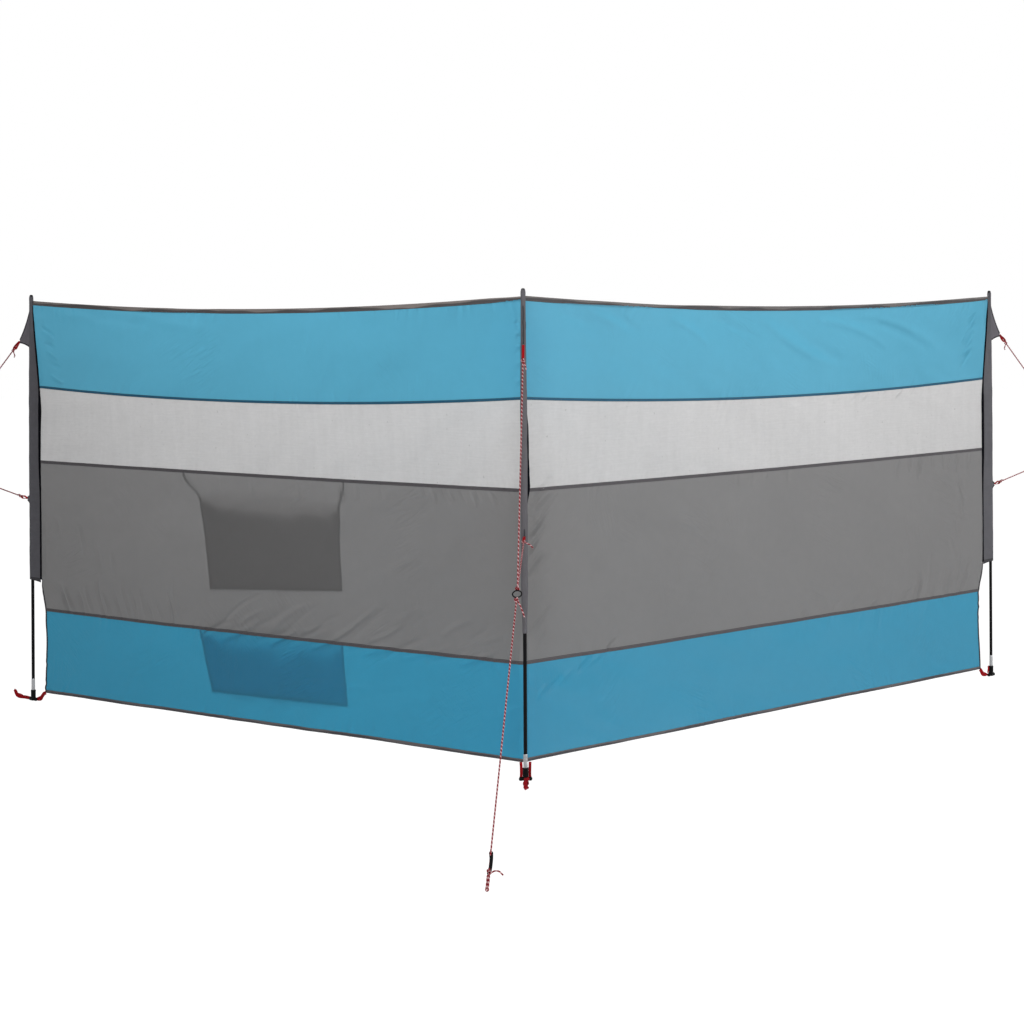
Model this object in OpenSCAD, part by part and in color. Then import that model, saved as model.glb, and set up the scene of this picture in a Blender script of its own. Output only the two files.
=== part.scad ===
// Beach windbreak in two bays: three poles set out in a V, a banded cloth on pole sleeves, split guy ropes
// and foot straps. The origin is on the ground under the middle pole, +X runs across the front from left to
// right, +Y runs back into the shelter and +Z is up.

/* [Overall] */
// Height of the pole tips above the ground
pole_h = 1520; // [1200:10:1900]
// Distance across the front from the middle pole to each end pole
bay_across = 1830; // [1400:10:2400]
// Distance that the end poles stand behind the middle pole
bay_back = 1520; // [900:10:2000]

/* [Cloth] */
// Thickness of the cloth
cloth_t = 1.6; // [1:0.1:3]
// Drop from the pole tips to the top edge of the cloth
cloth_drop = 23; // [12:1:60]
// Height of the band along the top, at the middle pole
top_band_h = 319; // [200:1:380]
// Height of the pale window band, at the middle pole
window_band_h = 287; // [150:1:340]
// Height of the band along the ground, at the middle pole
bottom_band_h = 309; // [200:1:360]
// Height of the hem above the ground at the middle pole
hem_lift_middle = 45; // [40:1:100]
// Height of the hem above the ground at the end poles
hem_lift_end = 36; // [15:1:80]
// Extra drop of the first seam at the end poles
seam_1_end_drop = 3; // [0:1:40]
// Extra drop of the second seam at the end poles, or its rise where this is negative
seam_2_end_drop = -6; // [-20:1:40]
// Sag of the top edge at mid bay
top_sag = 36; // [0:1:80]
// Sag of the first seam at mid bay
seam_1_sag = 35; // [0:1:60]
// Sag of the second seam at mid bay
seam_2_sag = 8; // [0:1:40]
// Sag of the third seam at mid bay
seam_3_sag = 7; // [0:1:30]
// How far the cloth bows back at the middle of each bay
bow = 30; // [0:1:60]

/* [Bindings] */
// Height of the binding along the top edge
top_binding_h = 16; // [8:1:25]
// Height of the tape over each seam
seam_tape_h = 9; // [5:1:16]
// Height of the bottom hem
hem_h = 11; // [6:1:20]
// Width of the binding down the free end edges
edge_binding_w = 7; // [4:1:12]
// Thickness of the bindings, the tapes and the hem
binding_t = 2.6; // [1.6:0.1:4]

/* [Poles] */
// Diameter of the poles
pole_d = 11.5; // [7:0.5:16]
// Wall of the metal tip where it wraps the pole's end
ferrule_wall = 1; // [0.5:0.1:3]
// Height of the top of the metal tip above the ground
ferrule_top = 82; // [60:1:120]
// Length of the pole end inside the metal tip
ferrule_socket = 32; // [15:1:40]

/* [Sleeves] */
// Height of the lower end of the sleeves above the ground
sleeve_end = 455; // [380:5:560]
// Width of the sleeves from the pole's centre line to the seam, low down
sleeve_w = 47; // [30:1:70]
// Width of the sleeves from the pole's centre line to the seam, at the top
sleeve_top_w = 10; // [9:0.5:25]
// Height over which a sleeve widens below its top
sleeve_taper_h = 430; // [200:10:600]
// Clearance between a pole and its sleeve all round
sleeve_clearance = 0.3; // [0.1:0.1:1]
// Wall of a sleeve where it wraps the pole at the top
sleeve_wall = 1.6; // [1:0.1:3]
// How much looser the sleeve hangs round the pole low down
sleeve_slack = 3; // [0:0.5:6]
// How much further from the pole than the sleeve's seam the free end edge runs, at the hem
corner_inset = 20; // [5:1:50]
// Height below the sleeve over which the free edge curves in
corner_curve_h = 125; // [80:5:200]

/* [Gussets and guy tabs] */
// Drop from the pole tip to the upper end of a gusset
gusset_top_drop = 55; // [40:5:120]
// Drop from the pole tip to the point of a gusset
gusset_tip_drop = 175; // [150:5:260]
// Drop from the pole tip to the lower end of a gusset
gusset_low_drop = 197; // [180:1:300]
// Reach of a gusset out from the pole's centre line
gusset_reach = 68; // [40:1:120]
// Height of the middle tab above the ground
tab_h = 755; // [600:5:900]
// Reach of the middle tab out from the pole's centre line
tab_reach = 27; // [20:1:50]
// Height of the middle tab where it is sewn on
tab_root_h = 42; // [20:1:80]
// Width of the webbing
webbing_w = 10; // [6:1:20]
// Thickness of a folded webbing loop
webbing_t = 2.4; // [1.5:0.1:4]
// Length of the webbing loop on a gusset
gusset_loop_l = 45; // [15:1:60]
// Length of the webbing loop on a middle tab
tab_loop_l = 34; // [8:1:50]

/* [Feet] */
// Height of the foot cup
foot_h = 40; // [30:1:60]
// Wall of the foot cup round the metal tip
foot_cup_wall = 2.25; // [2:0.25:6]
// Thickness of the foot below the metal tip
foot_floor = 10; // [6:1:14]
// Length of the foot bar
foot_bar_l = 42; // [36:1:60]
// Diameter of the foot bar
foot_bar_d = 14; // [10:1:17]
// Height of the bar's centre line above the ground, which leaves it a flat underside
foot_bar_h = 5.5; // [4:0.5:6]

/* [Guy ropes] */
// Diameter of the guy ropes
rope_d = 4; // [3:0.5:6]
// Distance from an end pole out to the ground end of its guy rope
end_guy_reach = 1750; // [1200:10:2200]
// Distance from an end pole out to the ring on its guy rope
end_ring_reach = 640; // [400:10:800]
// Height of the ring on an end guy rope
end_ring_h = 857; // [800:1:950]
// Distance from the middle pole forward to the ground end of its guy rope
middle_guy_reach = 1170; // [900:10:1600]
// Distance from the middle pole forward to the ring on its guy rope
middle_ring_reach = 430; // [300:10:600]
// Height of the ring on the middle guy rope
middle_ring_h = 637; // [550:1:700]
// Sideways offset of the ground end of the middle guy rope
middle_guy_side = -99; // [-200:1:200]
// Sideways offset of the ring on the middle guy rope
middle_ring_side = -22; // [-80:1:80]
// Outer diameter of the ring
ring_d = 30; // [24:1:50]
// Diameter of the ring's section
ring_section_d = 4; // [3:0.5:6]
// Length of the tensioning runner
runner_l = 70; // [50:1:90]
// Width of the runner
runner_w = 12; // [8:1:20]
// Thickness of the runner
runner_t = 6; // [4:0.5:10]
// How much wider than the rope the runner's holes are
runner_hole_clearance = 1; // [0.5:0.5:3]
// Length of the doubled peg loop below the runner
peg_loop_l = 46; // [35:1:80]
// Gap between the two strands of the peg loop
peg_loop_gap = 2; // [1:0.5:6]

/* [Pockets] */
// Width of the pockets
pocket_w = 685; // [400:10:800]
// Distance from the middle pole's seam to the nearer side of the pockets
pocket_start = 815; // [500:10:1000]
// Drop from the second seam to the upper pocket's open edge
upper_pocket_drop = 90; // [40:1:140]
// Height of the upper pocket
upper_pocket_h = 300; // [200:1:330]
// Depth of the lower pocket, measured down from the third seam
lower_pocket_h = 205; // [150:1:230]
// How far a pocket's open edge stands off the cloth
pocket_gape = 40; // [20:1:60]
// Sideways slant of the upper pocket's hanging straps
pocket_strap_slant = 60; // [0:5:90]

/* [Hidden] */
SIDES = ["left", "right"];
POLES = ["left", "middle", "right"];

// Gap left between pieces that are sewn or seated together.
seat_gap = 0.3;
gusset_hollow = 8;
tab_hollow = 3;
hem_strap_w = 7;
cloth_rows = 3;
middle_band_rows = 10;
cloth_columns = 12;
$fn = 32;

cloth_top = pole_h - cloth_drop;
seam_1 = cloth_top - top_band_h;
seam_2 = seam_1 - window_band_h;
seam_3 = hem_lift_middle + bottom_band_h;
hem_end_drop = hem_lift_middle - hem_lift_end;
ferrule_d = pole_d + 2 * ferrule_wall;
foot_cup_d = ferrule_d + 2 * foot_cup_wall;
corner_gap = sleeve_w + corner_inset;
bay_len = norm([bay_across, bay_back]);
bay_angle = atan2(bay_back, bay_across);
along = [cos(bay_angle), sin(bay_angle)];
across = [-sin(bay_angle), cos(bay_angle)];

// A line across a bay is [height at the middle pole, height at the end pole, sag at mid bay].
TOP_EDGE = [cloth_top, cloth_top, top_sag];
SEAM_1 = [seam_1, seam_1 - seam_1_end_drop, seam_1_sag];
SEAM_2 = [seam_2, seam_2 - seam_2_end_drop, seam_2_sag];
SEAM_3 = [seam_3, seam_3 - hem_end_drop, seam_3_sag];
HEM = [hem_lift_middle, hem_lift_end, 0];

function shift(line, dz) = [line[0] + dz, line[1] + dz, line[2]];
function mix(a, b, k) = a + (b - a) * k;
function unit(v) = v / norm(v);
function clamp(k) = min(1, max(0, k));
function ease(k) = let (c = clamp(k)) c * c * (3 - 2 * c);
function line_height(line, t) = mix(line[0], line[1], t) - line[2] * 4 * t * (1 - t);

// Each piece of a bay is a strip: [lower line, upper line, rows of facets].
TOP_BINDING = [shift(TOP_EDGE, -top_binding_h), TOP_EDGE, 1];
tape_clear = seam_tape_h / 2 + seat_gap;
TOP_BAND = [shift(SEAM_1, tape_clear), shift(TOP_EDGE, -top_binding_h - seat_gap), cloth_rows];
WINDOW_BAND = [shift(SEAM_2, tape_clear), shift(SEAM_1, -tape_clear), cloth_rows];
MIDDLE_BAND = [shift(SEAM_3, tape_clear), shift(SEAM_2, -tape_clear), middle_band_rows];
BOTTOM_BAND = [shift(HEM, hem_h + seat_gap), shift(SEAM_3, -tape_clear), cloth_rows];
HEM_STRIP = [HEM, shift(HEM, hem_h), 1];

// Heights at which the strips have facet corners beside the middle pole (0) or an end pole (1). The sleeves
// and the edge binding use the same heights, so that they meet the cloth all the way.
function corner_heights(pole) = [for (s = [MIDDLE_BAND, WINDOW_BAND, TOP_BAND, TOP_BINDING], r = [0 : s[2]])
    mix(s[0][pole], s[1][pole], r / s[2])];

// Radius of the sleeve round the pole, and its width from the pole to the seam, at a height.
function sleeve_r(z) = pole_d / 2 + sleeve_clearance + sleeve_wall
    + sleeve_slack * ease((cloth_top - z) / sleeve_taper_h);
function sleeve_width(z) = mix(sleeve_top_w, sleeve_w, ease((cloth_top - z) / sleeve_taper_h));
function free_edge(z) = sleeve_width(z)
    + (corner_gap + edge_binding_w - sleeve_w) * ease((sleeve_end - z) / corner_curve_h);

// Where the cloth starts behind the middle pole and ends beside the end pole, in plan.
function cloth_start(z) = [0, sleeve_width(z) + binding_t / 2 / cos(bay_angle) + seat_gap];
function cloth_end(z) = [bay_across, bay_back] - along * (free_edge(z) + seat_gap);
function bow_at(t, z) = bow * 4 * t * (1 - t) * sin(180 * clamp(z / cloth_top));

// A point of the right bay's cloth, and how far it lies behind the cloth's middle surface. The two bays meet
// in the plane of the middle pole, so there the offset runs straight back.
function cloth_point(t, z, off) =
    let (
        p = mix(cloth_start(z), cloth_end(z), t) + across * bow_at(t, z),
        q = t == 0 ? p + [0, off / cos(bay_angle)] : p + across * off
    )
    [q[0], q[1], z];

// A closed sheet between a front and a back grid of points, each a list of rows of equal length.
module closed_sheet(front, back) {
    rows = len(front);
    cols = len(front[0]);
    count = rows * cols;
    function at(r, c) = r * cols + c;
    faces = concat(
        [for (r = [0 : rows - 2], c = [0 : cols - 2]) each
            [[at(r, c), at(r + 1, c), at(r + 1, c + 1)], [at(r, c), at(r + 1, c + 1), at(r, c + 1)]]],
        [for (r = [0 : rows - 2], c = [0 : cols - 2]) each
            [[count + at(r, c), count + at(r + 1, c + 1), count + at(r + 1, c)],
             [count + at(r, c), count + at(r, c + 1), count + at(r + 1, c + 1)]]],
        [for (c = [0 : cols - 2]) each
            [[at(0, c), at(0, c + 1), count + at(0, c + 1)],
             [at(0, c), count + at(0, c + 1), count + at(0, c)]]],
        [for (c = [0 : cols - 2]) each
            [[at(rows - 1, c + 1), at(rows - 1, c), count + at(rows - 1, c)],
             [at(rows - 1, c + 1), count + at(rows - 1, c), count + at(rows - 1, c + 1)]]],
        [for (r = [0 : rows - 2]) each
            [[at(r + 1, 0), at(r, 0), count + at(r, 0)],
             [at(r + 1, 0), count + at(r, 0), count + at(r + 1, 0)]]],
        [for (r = [0 : rows - 2]) each
            [[at(r, cols - 1), at(r + 1, cols - 1), count + at(r + 1, cols - 1)],
             [at(r, cols - 1), count + at(r + 1, cols - 1), count + at(r, cols - 1)]]]
    );
    polyhedron(points = concat([for (row = front) each row], [for (row = back) each row]), faces = faces);
}

// One strip of the right bay, or its mirror image in the left bay.
module strip(side, lines, thickness) {
    rows = lines[2];
    function grid(off) = [for (r = [0 : rows]) [for (c = [0 : cloth_columns])
        let (t = c / cloth_columns, z = mix(line_height(lines[0], t), line_height(lines[1], t), r / rows))
        cloth_point(t, z, off)]];
    on_bay(side) closed_sheet(grid(-thickness / 2), grid(thickness / 2));
}

module on_bay(side) {
    mirror([side == "left" ? 1 : 0, 0, 0]) children();
}

// Puts a piece at a pole, with its own +X pointing out, away from the cloth.
module at_pole(pole) {
    if (pole == "middle") rotate([0, 0, -90]) children();
    else on_bay(pole) translate([bay_across, bay_back, 0]) rotate([0, 0, bay_angle]) children();
}

// Round or flat bar swept along points in the plane of +X and +Z.
module swept(points, section) {
    last = len(points) - 1;
    n = len(section);
    function heading(i) = unit(points[min(i + 1, last)] - points[max(i - 1, 0)]);
    function side(i) = unit(cross([0, 1, 0], heading(i)));
    rings = [for (i = [0 : last]) [for (s = section) points[i] + [0, s[0], 0] + side(i) * s[1]]];
    polyhedron(
        points = [for (ring = rings) each ring],
        faces = concat(
            [for (i = [0 : last - 1], k = [0 : n - 1]) each let (a = i * n + k, b = i * n + (k + 1) % n)
                [[a, b, b + n], [a, b + n, a + n]]],
            [[for (k = [n - 1 : -1 : 0]) k]],
            [[for (k = [0 : n - 1]) last * n + k]]
        )
    );
}

function round_section(d) = [for (k = [0 : 7]) [cos(k * 45), sin(k * 45)] * d / 2];
function flat_section(w, t) = [[w / 2, -t / 2], [w / 2, t / 2], [-w / 2, t / 2], [-w / 2, -t / 2]];

module top_band(side) {
    color([0.35, 0.64, 0.76]) strip(side, TOP_BAND, cloth_t);
}

module window_band(side) {
    color([0.78, 0.78, 0.78]) strip(side, WINDOW_BAND, cloth_t);
}

module middle_band(side) {
    color([0.5, 0.5, 0.49]) strip(side, MIDDLE_BAND, cloth_t);
}

module bottom_band(side) {
    color([0.25, 0.55, 0.67]) strip(side, BOTTOM_BAND, cloth_t);
}

module top_binding(side) {
    color([0.42, 0.4, 0.4]) strip(side, TOP_BINDING, binding_t);
}

module seam_tapes(side) {
    color([0.35, 0.35, 0.36])
        for (seam = [SEAM_1, SEAM_2, SEAM_3])
            strip(side, [shift(seam, -seam_tape_h / 2), shift(seam, seam_tape_h / 2), 1], binding_t);
}

// Binding up the free end edge of the right bay, from the hem to the sleeve. It narrows over its last stretch
// and tucks in under the sleeve's corner.
module edge_binding() {
    heights = concat([hem_lift_end], [for (z = corner_heights(1)) if (z < sleeve_end) z], [sleeve_end]);
    narrowing = 60;
    tucked_share = 0.15;
    function edge_place(z, w, off) =
        let (q = [bay_across, bay_back] - along * (free_edge(z) - w) + across * off)
        [q[0], q[1], z];
    function grid(off) = [for (z = heights)
        [for (w = [0, edge_binding_w * min(1, (sleeve_end - z) / narrowing + tucked_share)])
            edge_place(z, w, off)]];
    closed_sheet(grid(-binding_t / 2), grid(binding_t / 2));
}

module hem(side) {
    color([0.36, 0.36, 0.38]) {
        strip(side, HEM_STRIP, binding_t);
        on_bay(side) edge_binding();
    }
}

// Loft of the sleeve: a teardrop section at each height, and a closed cap over the pole tip.
module sleeve_loft(heights) {
    wrap_angle = 220;
    wrap_steps = 8;
    cap_margin = 0.5;
    function section(z) =
        let (r = sleeve_r(z), w = z > cloth_top ? r + cap_margin : sleeve_width(z))
        concat(
            [for (k = [0 : wrap_steps]) let (a = 180 + wrap_angle * (k / wrap_steps - 0.5))
                [-r * cos(a), r * sin(a), z]],
            [[-w, -binding_t / 2, z], [-w, binding_t / 2, z]]
        );
    n = wrap_steps + 3;
    last = len(heights) - 1;
    polyhedron(
        points = [for (z = heights) each section(z)],
        faces = concat(
            [for (i = [0 : last - 1], k = [0 : n - 1]) each
                let (a = i * n + k, b = i * n + (k + 1) % n)
                [[a, b, b + n], [a, b + n, a + n]]],
            [[for (k = [n - 1 : -1 : 0]) k]],
            [[for (k = [0 : n - 1]) last * n + k]]
        )
    );
}

module sleeve(pole) {
    above = [for (z = corner_heights(pole == "middle" ? 0 : 1)) if (z > sleeve_end) z];
    cap_shoulder = mix(cloth_top, pole_h, 0.3);
    heights = concat([sleeve_end], above, [cap_shoulder, pole_h]);
    color([0.3, 0.29, 0.31])
        at_pole(pole)
            difference() {
                sleeve_loft(heights);
                translate([0, 0, sleeve_end - 1])
                    cylinder(d = pole_d + 2 * sleeve_clearance, h = pole_h - sleeve_wall - sleeve_end + 1);
            }
}

function curve(a, b, c, n) = [for (i = [0 : n]) let (k = i / n) mix(mix(a, b, k), mix(b, c, k), k)];
function beside_sleeve(z) = [sleeve_r(z) + seat_gap, z];

// Triangular cloth plate between three corners, with hollow upper and lower edges.
module cloth_triangle(top, tip, low, hollow) {
    cut = webbing_w / 2;
    rotate([90, 0, 0])
        linear_extrude(cloth_t, center = true)
            polygon(concat(
                curve(top, mix(top, tip, 0.5) - [hollow, hollow / 2], tip + [0, cut], 5),
                curve(tip - [0, cut], mix(low, tip, 0.5) + [0, hollow / 2], low, 4)
            ));
}

module gusset(pole) {
    color([0.35, 0.34, 0.37])
        at_pole(pole) {
            cloth_triangle(beside_sleeve(pole_h - gusset_top_drop), [gusset_reach, pole_h - gusset_tip_drop],
                beside_sleeve(pole_h - gusset_low_drop), gusset_hollow);
            cloth_triangle(beside_sleeve(tab_h + tab_root_h / 2), [tab_reach, tab_h],
                beside_sleeve(tab_h - tab_root_h / 2), tab_hollow);
        }
}

// Places of the ring and the ground end of a guy rope, as [distance out, sideways, height].
function ring_place(pole) = pole == "middle"
    ? [middle_ring_reach, middle_ring_side, middle_ring_h] : [end_ring_reach, 0, end_ring_h];
function ground_place(pole) = pole == "middle"
    ? [middle_guy_reach, middle_guy_side, rope_d / 2] : [end_guy_reach, 0, rope_d / 2];
gusset_tip = [gusset_reach, 0, pole_h - gusset_tip_drop];
tab_tip = [tab_reach, 0, tab_h];
function toward(from, to, distance) = from + unit(to - from) * distance;

// The rope meets the ring at the top of its rim and leaves at the bottom, along the line to the ground.
rim_reach = ring_d / 2 + seat_gap;
function rim_top(pole) = toward(ring_place(pole), ground_place(pole), -rim_reach);
function rim_low(pole) = toward(ring_place(pole), ground_place(pole), rim_reach);

// Where a webbing loop starts, clear of the cloth point that it is sewn to, and where it ends.
function loop_start(tip, pole) =
    tip + [seat_gap + webbing_t / 2 * abs(unit(rim_top(pole) - tip)[2]), 0, 0];
function loop_end(tip, pole, length) = toward(loop_start(tip, pole), rim_top(pole), length);

// Bar swept along a straight line between two places.
module straight(from, to, section) {
    run = to - from;
    flat = norm([run[0], run[1]]);
    translate(from)
        rotate([0, 0, atan2(run[1], run[0])])
            swept([[0, 0, 0], [flat, 0, run[2]]], section);
}

module webbing_loops(pole) {
    section = flat_section(webbing_w, webbing_t);
    color([0.75, 0.1, 0.13])
        at_pole(pole) {
            straight(loop_start(gusset_tip, pole), loop_end(gusset_tip, pole, gusset_loop_l), section);
            straight(loop_start(tab_tip, pole), loop_end(tab_tip, pole, tab_loop_l), section);
        }
}

module pole_rod(pole) {
    foot = ferrule_top - ferrule_socket;
    color([0.06, 0.06, 0.07])
        at_pole(pole)
            translate([0, 0, foot]) cylinder(d = pole_d, h = pole_h - sleeve_wall - seat_gap - foot);
}

module pole_ferrule(pole) {
    color([0.7, 0.7, 0.72])
        at_pole(pole)
            difference() {
                translate([0, 0, foot_floor]) cylinder(d = ferrule_d, h = ferrule_top - foot_floor);
                translate([0, 0, ferrule_top - ferrule_socket]) cylinder(d = pole_d, h = ferrule_socket + 1);
            }
}

// The foot's bar lies in line with the cloth at the end poles, and across the front at the middle pole.
module foot(pole) {
    half = (foot_bar_l - foot_bar_d) / 2;
    color([0.08, 0.08, 0.09])
        at_pole(pole)
            difference() {
                union() {
                    translate([0, 0, foot_bar_h]) cylinder(d = foot_cup_d, h = foot_h - foot_bar_h);
                    rotate([0, 0, pole == "middle" ? 90 : 0]) translate([0, 0, foot_bar_h]) {
                        translate([-half, 0, 0]) rotate([0, 90, 0]) cylinder(d = foot_bar_d, h = 2 * half);
                        for (x = [-half, half]) translate([x, 0, 0]) sphere(d = foot_bar_d);
                    }
                }
                translate([0, 0, foot_floor]) cylinder(d = ferrule_d, h = foot_h);
                translate([-foot_bar_l, -foot_bar_l, -foot_bar_d])
                    cube([2 * foot_bar_l, 2 * foot_bar_l, foot_bar_d]);
            }
}

// Routes of the foot straps as points chosen by hand: how far past the foot's bar or cup, and how high.
OUTER_LOOP = [[0, 6], [18, 3.5], [45, 5], [72, 13], [86, 27]];
STANDING_LOOP = [[0, 6], [9, 4.5], [17, 14], [15, 34], [6, 58], [3, 72]];
FRONT_LOOP = [[0, 6], [28, 3.5], [62, 6], [100, 4], [130, 9]];
function route(start, points) = [for (p = points) [start + p[0], 0, p[1]]];

// Strap from under the cloth's corner down to the foot's bar, dipping towards the ground on the way.
module corner_strap() {
    sewn_l = 12;
    sewn_fall = 2;
    dip_share = 0.55;
    dip_h = 9;
    bar_end = -foot_bar_l / 2 - seat_gap;
    corner = -corner_gap - edge_binding_w;
    under_hem = hem_lift_end - seat_gap - webbing_t / 2;
    swept([[corner, 0, under_hem], [corner + sewn_l, 0, under_hem - sewn_fall],
        [mix(corner, bar_end, dip_share), 0, dip_h], [bar_end, 0, foot_bar_h]],
        flat_section(webbing_w, webbing_t));
}

// One of the two straps from the hem behind the middle pole down to the bar of its foot.
module hem_strap(offset) {
    sewn_back = 3;
    sewn_front = 8;
    sewn_fall = 5;
    dip_out = -20;
    dip_h = 16;
    edge = -sleeve_w - offset * tan(bay_angle);
    under_hem = hem_lift_middle - seat_gap - webbing_t / 2;
    translate([0, offset, 0])
        swept([[edge - sewn_back, 0, under_hem], [edge + sewn_front, 0, under_hem - sewn_fall],
            [dip_out, 0, dip_h], [-foot_bar_d / 2 - seat_gap, 0, foot_bar_h]],
            flat_section(hem_strap_w, webbing_t));
}

module foot_strap(pole) {
    side_gap = 2;
    section = flat_section(webbing_w, webbing_t);
    color([0.75, 0.1, 0.13])
        at_pole(pole)
            if (pole == "middle") {
                for (turn = [0, 1]) mirror([0, turn, 0]) hem_strap((foot_cup_d + hem_strap_w) / 2 + side_gap);
                swept(route(foot_cup_d / 2 + seat_gap, FRONT_LOOP), section);
            } else {
                corner_strap();
                swept(route(foot_bar_l / 2 + seat_gap, pole == "left" ? OUTER_LOOP : STANDING_LOOP), section);
            }
}

// Ends of the runner along the line from the ring to the ground.
function runner_low(pole) = toward(ground_place(pole), ring_place(pole), peg_loop_l);
function runner_top(pole) = toward(runner_low(pole), ring_place(pole), runner_l);

module guy_rope(pole) {
    section = round_section(rope_d);
    strand = (rope_d + peg_loop_gap) / 2;
    color([0.8, 0.25, 0.28])
        at_pole(pole) {
            straight(loop_end(gusset_tip, pole, gusset_loop_l + seat_gap),
                toward(rim_top(pole), gusset_tip, 2 * seat_gap), section);
            straight(rim_low(pole), toward(runner_top(pole), ring_place(pole), seat_gap), section);
            for (s = [-strand, strand])
                straight(toward(runner_low(pole), ground_place(pole), seat_gap) + [0, s, 0],
                    ground_place(pole) + [0, s, 0], section);
        }
}

// The branch from the middle tab ends beside the main rope, where the knot joins them above the ring.
module guy_branch(pole) {
    knot_gap = 1.9 * rope_d;
    color([0.8, 0.25, 0.28])
        at_pole(pole)
            straight(loop_end(tab_tip, pole, tab_loop_l + seat_gap), toward(rim_top(pole), tab_tip, knot_gap),
                round_section(rope_d));
}

module guy_ring(pole) {
    run = ground_place(pole) - ring_place(pole);
    color([0.08, 0.08, 0.09])
        at_pole(pole)
            translate(ring_place(pole))
                rotate([0, 0, atan2(run[1], run[0])])
                    rotate([0, atan2(-run[2], norm([run[0], run[1]])), 0])
                        rotate_extrude()
                            translate([(ring_d - ring_section_d) / 2, 0])
                                circle(d = ring_section_d);
}

// The runner is a flat bar with a rope hole near each end, in line with the rope.
module guy_runner(pole) {
    low = runner_low(pole);
    run = runner_top(pole) - low;
    color([0.08, 0.08, 0.09])
        at_pole(pole)
            translate(low)
                rotate([0, 0, atan2(run[1], run[0])])
                    rotate([0, atan2(-run[2], norm([run[0], run[1]])), 0])
                        translate([0, 0, -runner_t / 2])
                            difference() {
                                union() {
                                    translate([runner_w / 2, -runner_w / 2, 0])
                                        cube([runner_l - runner_w, runner_w, runner_t]);
                                    for (x = [runner_w / 2, runner_l - runner_w / 2])
                                        translate([x, 0, 0]) cylinder(d = runner_w, h = runner_t);
                                }
                                for (x = [runner_w / 2, runner_l - runner_w / 2])
                                    translate([x, 0, -1])
                                        cylinder(d = rope_d + runner_hole_clearance, h = runner_t + 2);
                            }
}

// Pouch sheet on the back of the left bay: it stands off the cloth along its open upper edge, most at the
// middle, and meets the cloth down both sides and along the bottom.
module pocket(top, depth) {
    rows = 5;
    cols = 10;
    side_fullness = 0.7;
    rise_fullness = 0.8;
    start = pocket_start / bay_len;
    end = (pocket_start + pocket_w) / bay_len;
    function stand_off(c, r) = cloth_t / 2 + seat_gap
        + pocket_gape * pow(sin(180 * c / cols), side_fullness) * pow(r / rows, rise_fullness);
    function grid(extra) = [for (r = [0 : rows]) [for (c = [0 : cols])
        let (t = mix(start, end, c / cols), z = line_height(top, t) - depth * (1 - r / rows))
        cloth_point(t, z, stand_off(c, r) + extra)]];
    on_bay("left") closed_sheet(grid(0), grid(cloth_t));
}

module upper_pocket() {
    color([0.38, 0.38, 0.4]) pocket(shift(SEAM_2, -upper_pocket_drop), upper_pocket_h);
}

module lower_pocket() {
    hang = seam_tape_h / 2 + 2;
    color([0.15, 0.42, 0.54]) pocket(shift(SEAM_3, -hang), lower_pocket_h);
}

// Short strap from the second seam to an upper corner of the upper pocket: side -1 is the corner nearer the
// middle pole, side 1 the other.
module pocket_strap(side) {
    half = webbing_w / 2 / bay_len;
    lean = pocket_strap_slant / bay_len;
    corner = (pocket_start + (side > 0 ? pocket_w : 0)) / bay_len;
    function place(k, w, off) =
        let (t = corner + side * (lean * k + half) + w, seam = line_height(SEAM_2, t))
        cloth_point(t, mix(seam - upper_pocket_drop + seat_gap, seam - seam_tape_h, k), off);
    function grid(off) = [for (r = [0 : 3]) [for (w = [-half, half]) place(r / 3, w, off)]];
    closed_sheet(grid(cloth_t / 2 + seat_gap), grid(cloth_t / 2 + seat_gap + webbing_t / 2));
}

module pocket_straps() {
    color([0.3, 0.3, 0.31]) on_bay("left") for (side = [-1, 1]) pocket_strap(side);
}

for (side = SIDES) {
    top_band(side);
    window_band(side);
    middle_band(side);
    bottom_band(side);
    top_binding(side);
    seam_tapes(side);
    hem(side);
}
for (pole = POLES) {
    sleeve(pole);
    gusset(pole);
    webbing_loops(pole);
    pole_rod(pole);
    pole_ferrule(pole);
    foot(pole);
    foot_strap(pole);
    guy_rope(pole);
    guy_branch(pole);
    guy_ring(pole);
    guy_runner(pole);
}
upper_pocket();
lower_pocket();
pocket_straps();
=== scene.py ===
"""Looks of the beach windbreak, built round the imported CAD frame. Metres, in the CAD's own frame."""

import math

import bpy
import numpy as np
from mathutils import Euler, Matrix, Vector


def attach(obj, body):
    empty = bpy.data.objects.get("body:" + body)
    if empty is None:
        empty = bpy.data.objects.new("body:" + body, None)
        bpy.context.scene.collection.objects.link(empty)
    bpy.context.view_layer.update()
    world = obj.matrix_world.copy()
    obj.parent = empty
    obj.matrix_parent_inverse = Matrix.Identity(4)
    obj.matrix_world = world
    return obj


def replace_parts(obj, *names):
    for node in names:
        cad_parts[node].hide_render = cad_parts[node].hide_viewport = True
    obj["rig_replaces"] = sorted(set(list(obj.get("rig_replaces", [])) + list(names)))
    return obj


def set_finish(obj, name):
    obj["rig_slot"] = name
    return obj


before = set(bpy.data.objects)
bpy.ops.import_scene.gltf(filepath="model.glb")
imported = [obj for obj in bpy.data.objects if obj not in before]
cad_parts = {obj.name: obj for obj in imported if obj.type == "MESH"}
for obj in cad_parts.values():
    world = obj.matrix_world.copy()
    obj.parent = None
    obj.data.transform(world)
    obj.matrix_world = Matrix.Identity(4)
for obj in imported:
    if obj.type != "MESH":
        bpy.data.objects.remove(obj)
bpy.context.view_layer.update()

# ---- sizes, as in the CAD source
# A line over a bay holds its height at the middle pole, its height at the end pole, and its sag.
POLE_H, BAY_ACROSS, BAY_BACK = 1.52, 1.83, 1.52
POLE_R = 0.00575
CLOTH_TOP = POLE_H - 0.023
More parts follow.
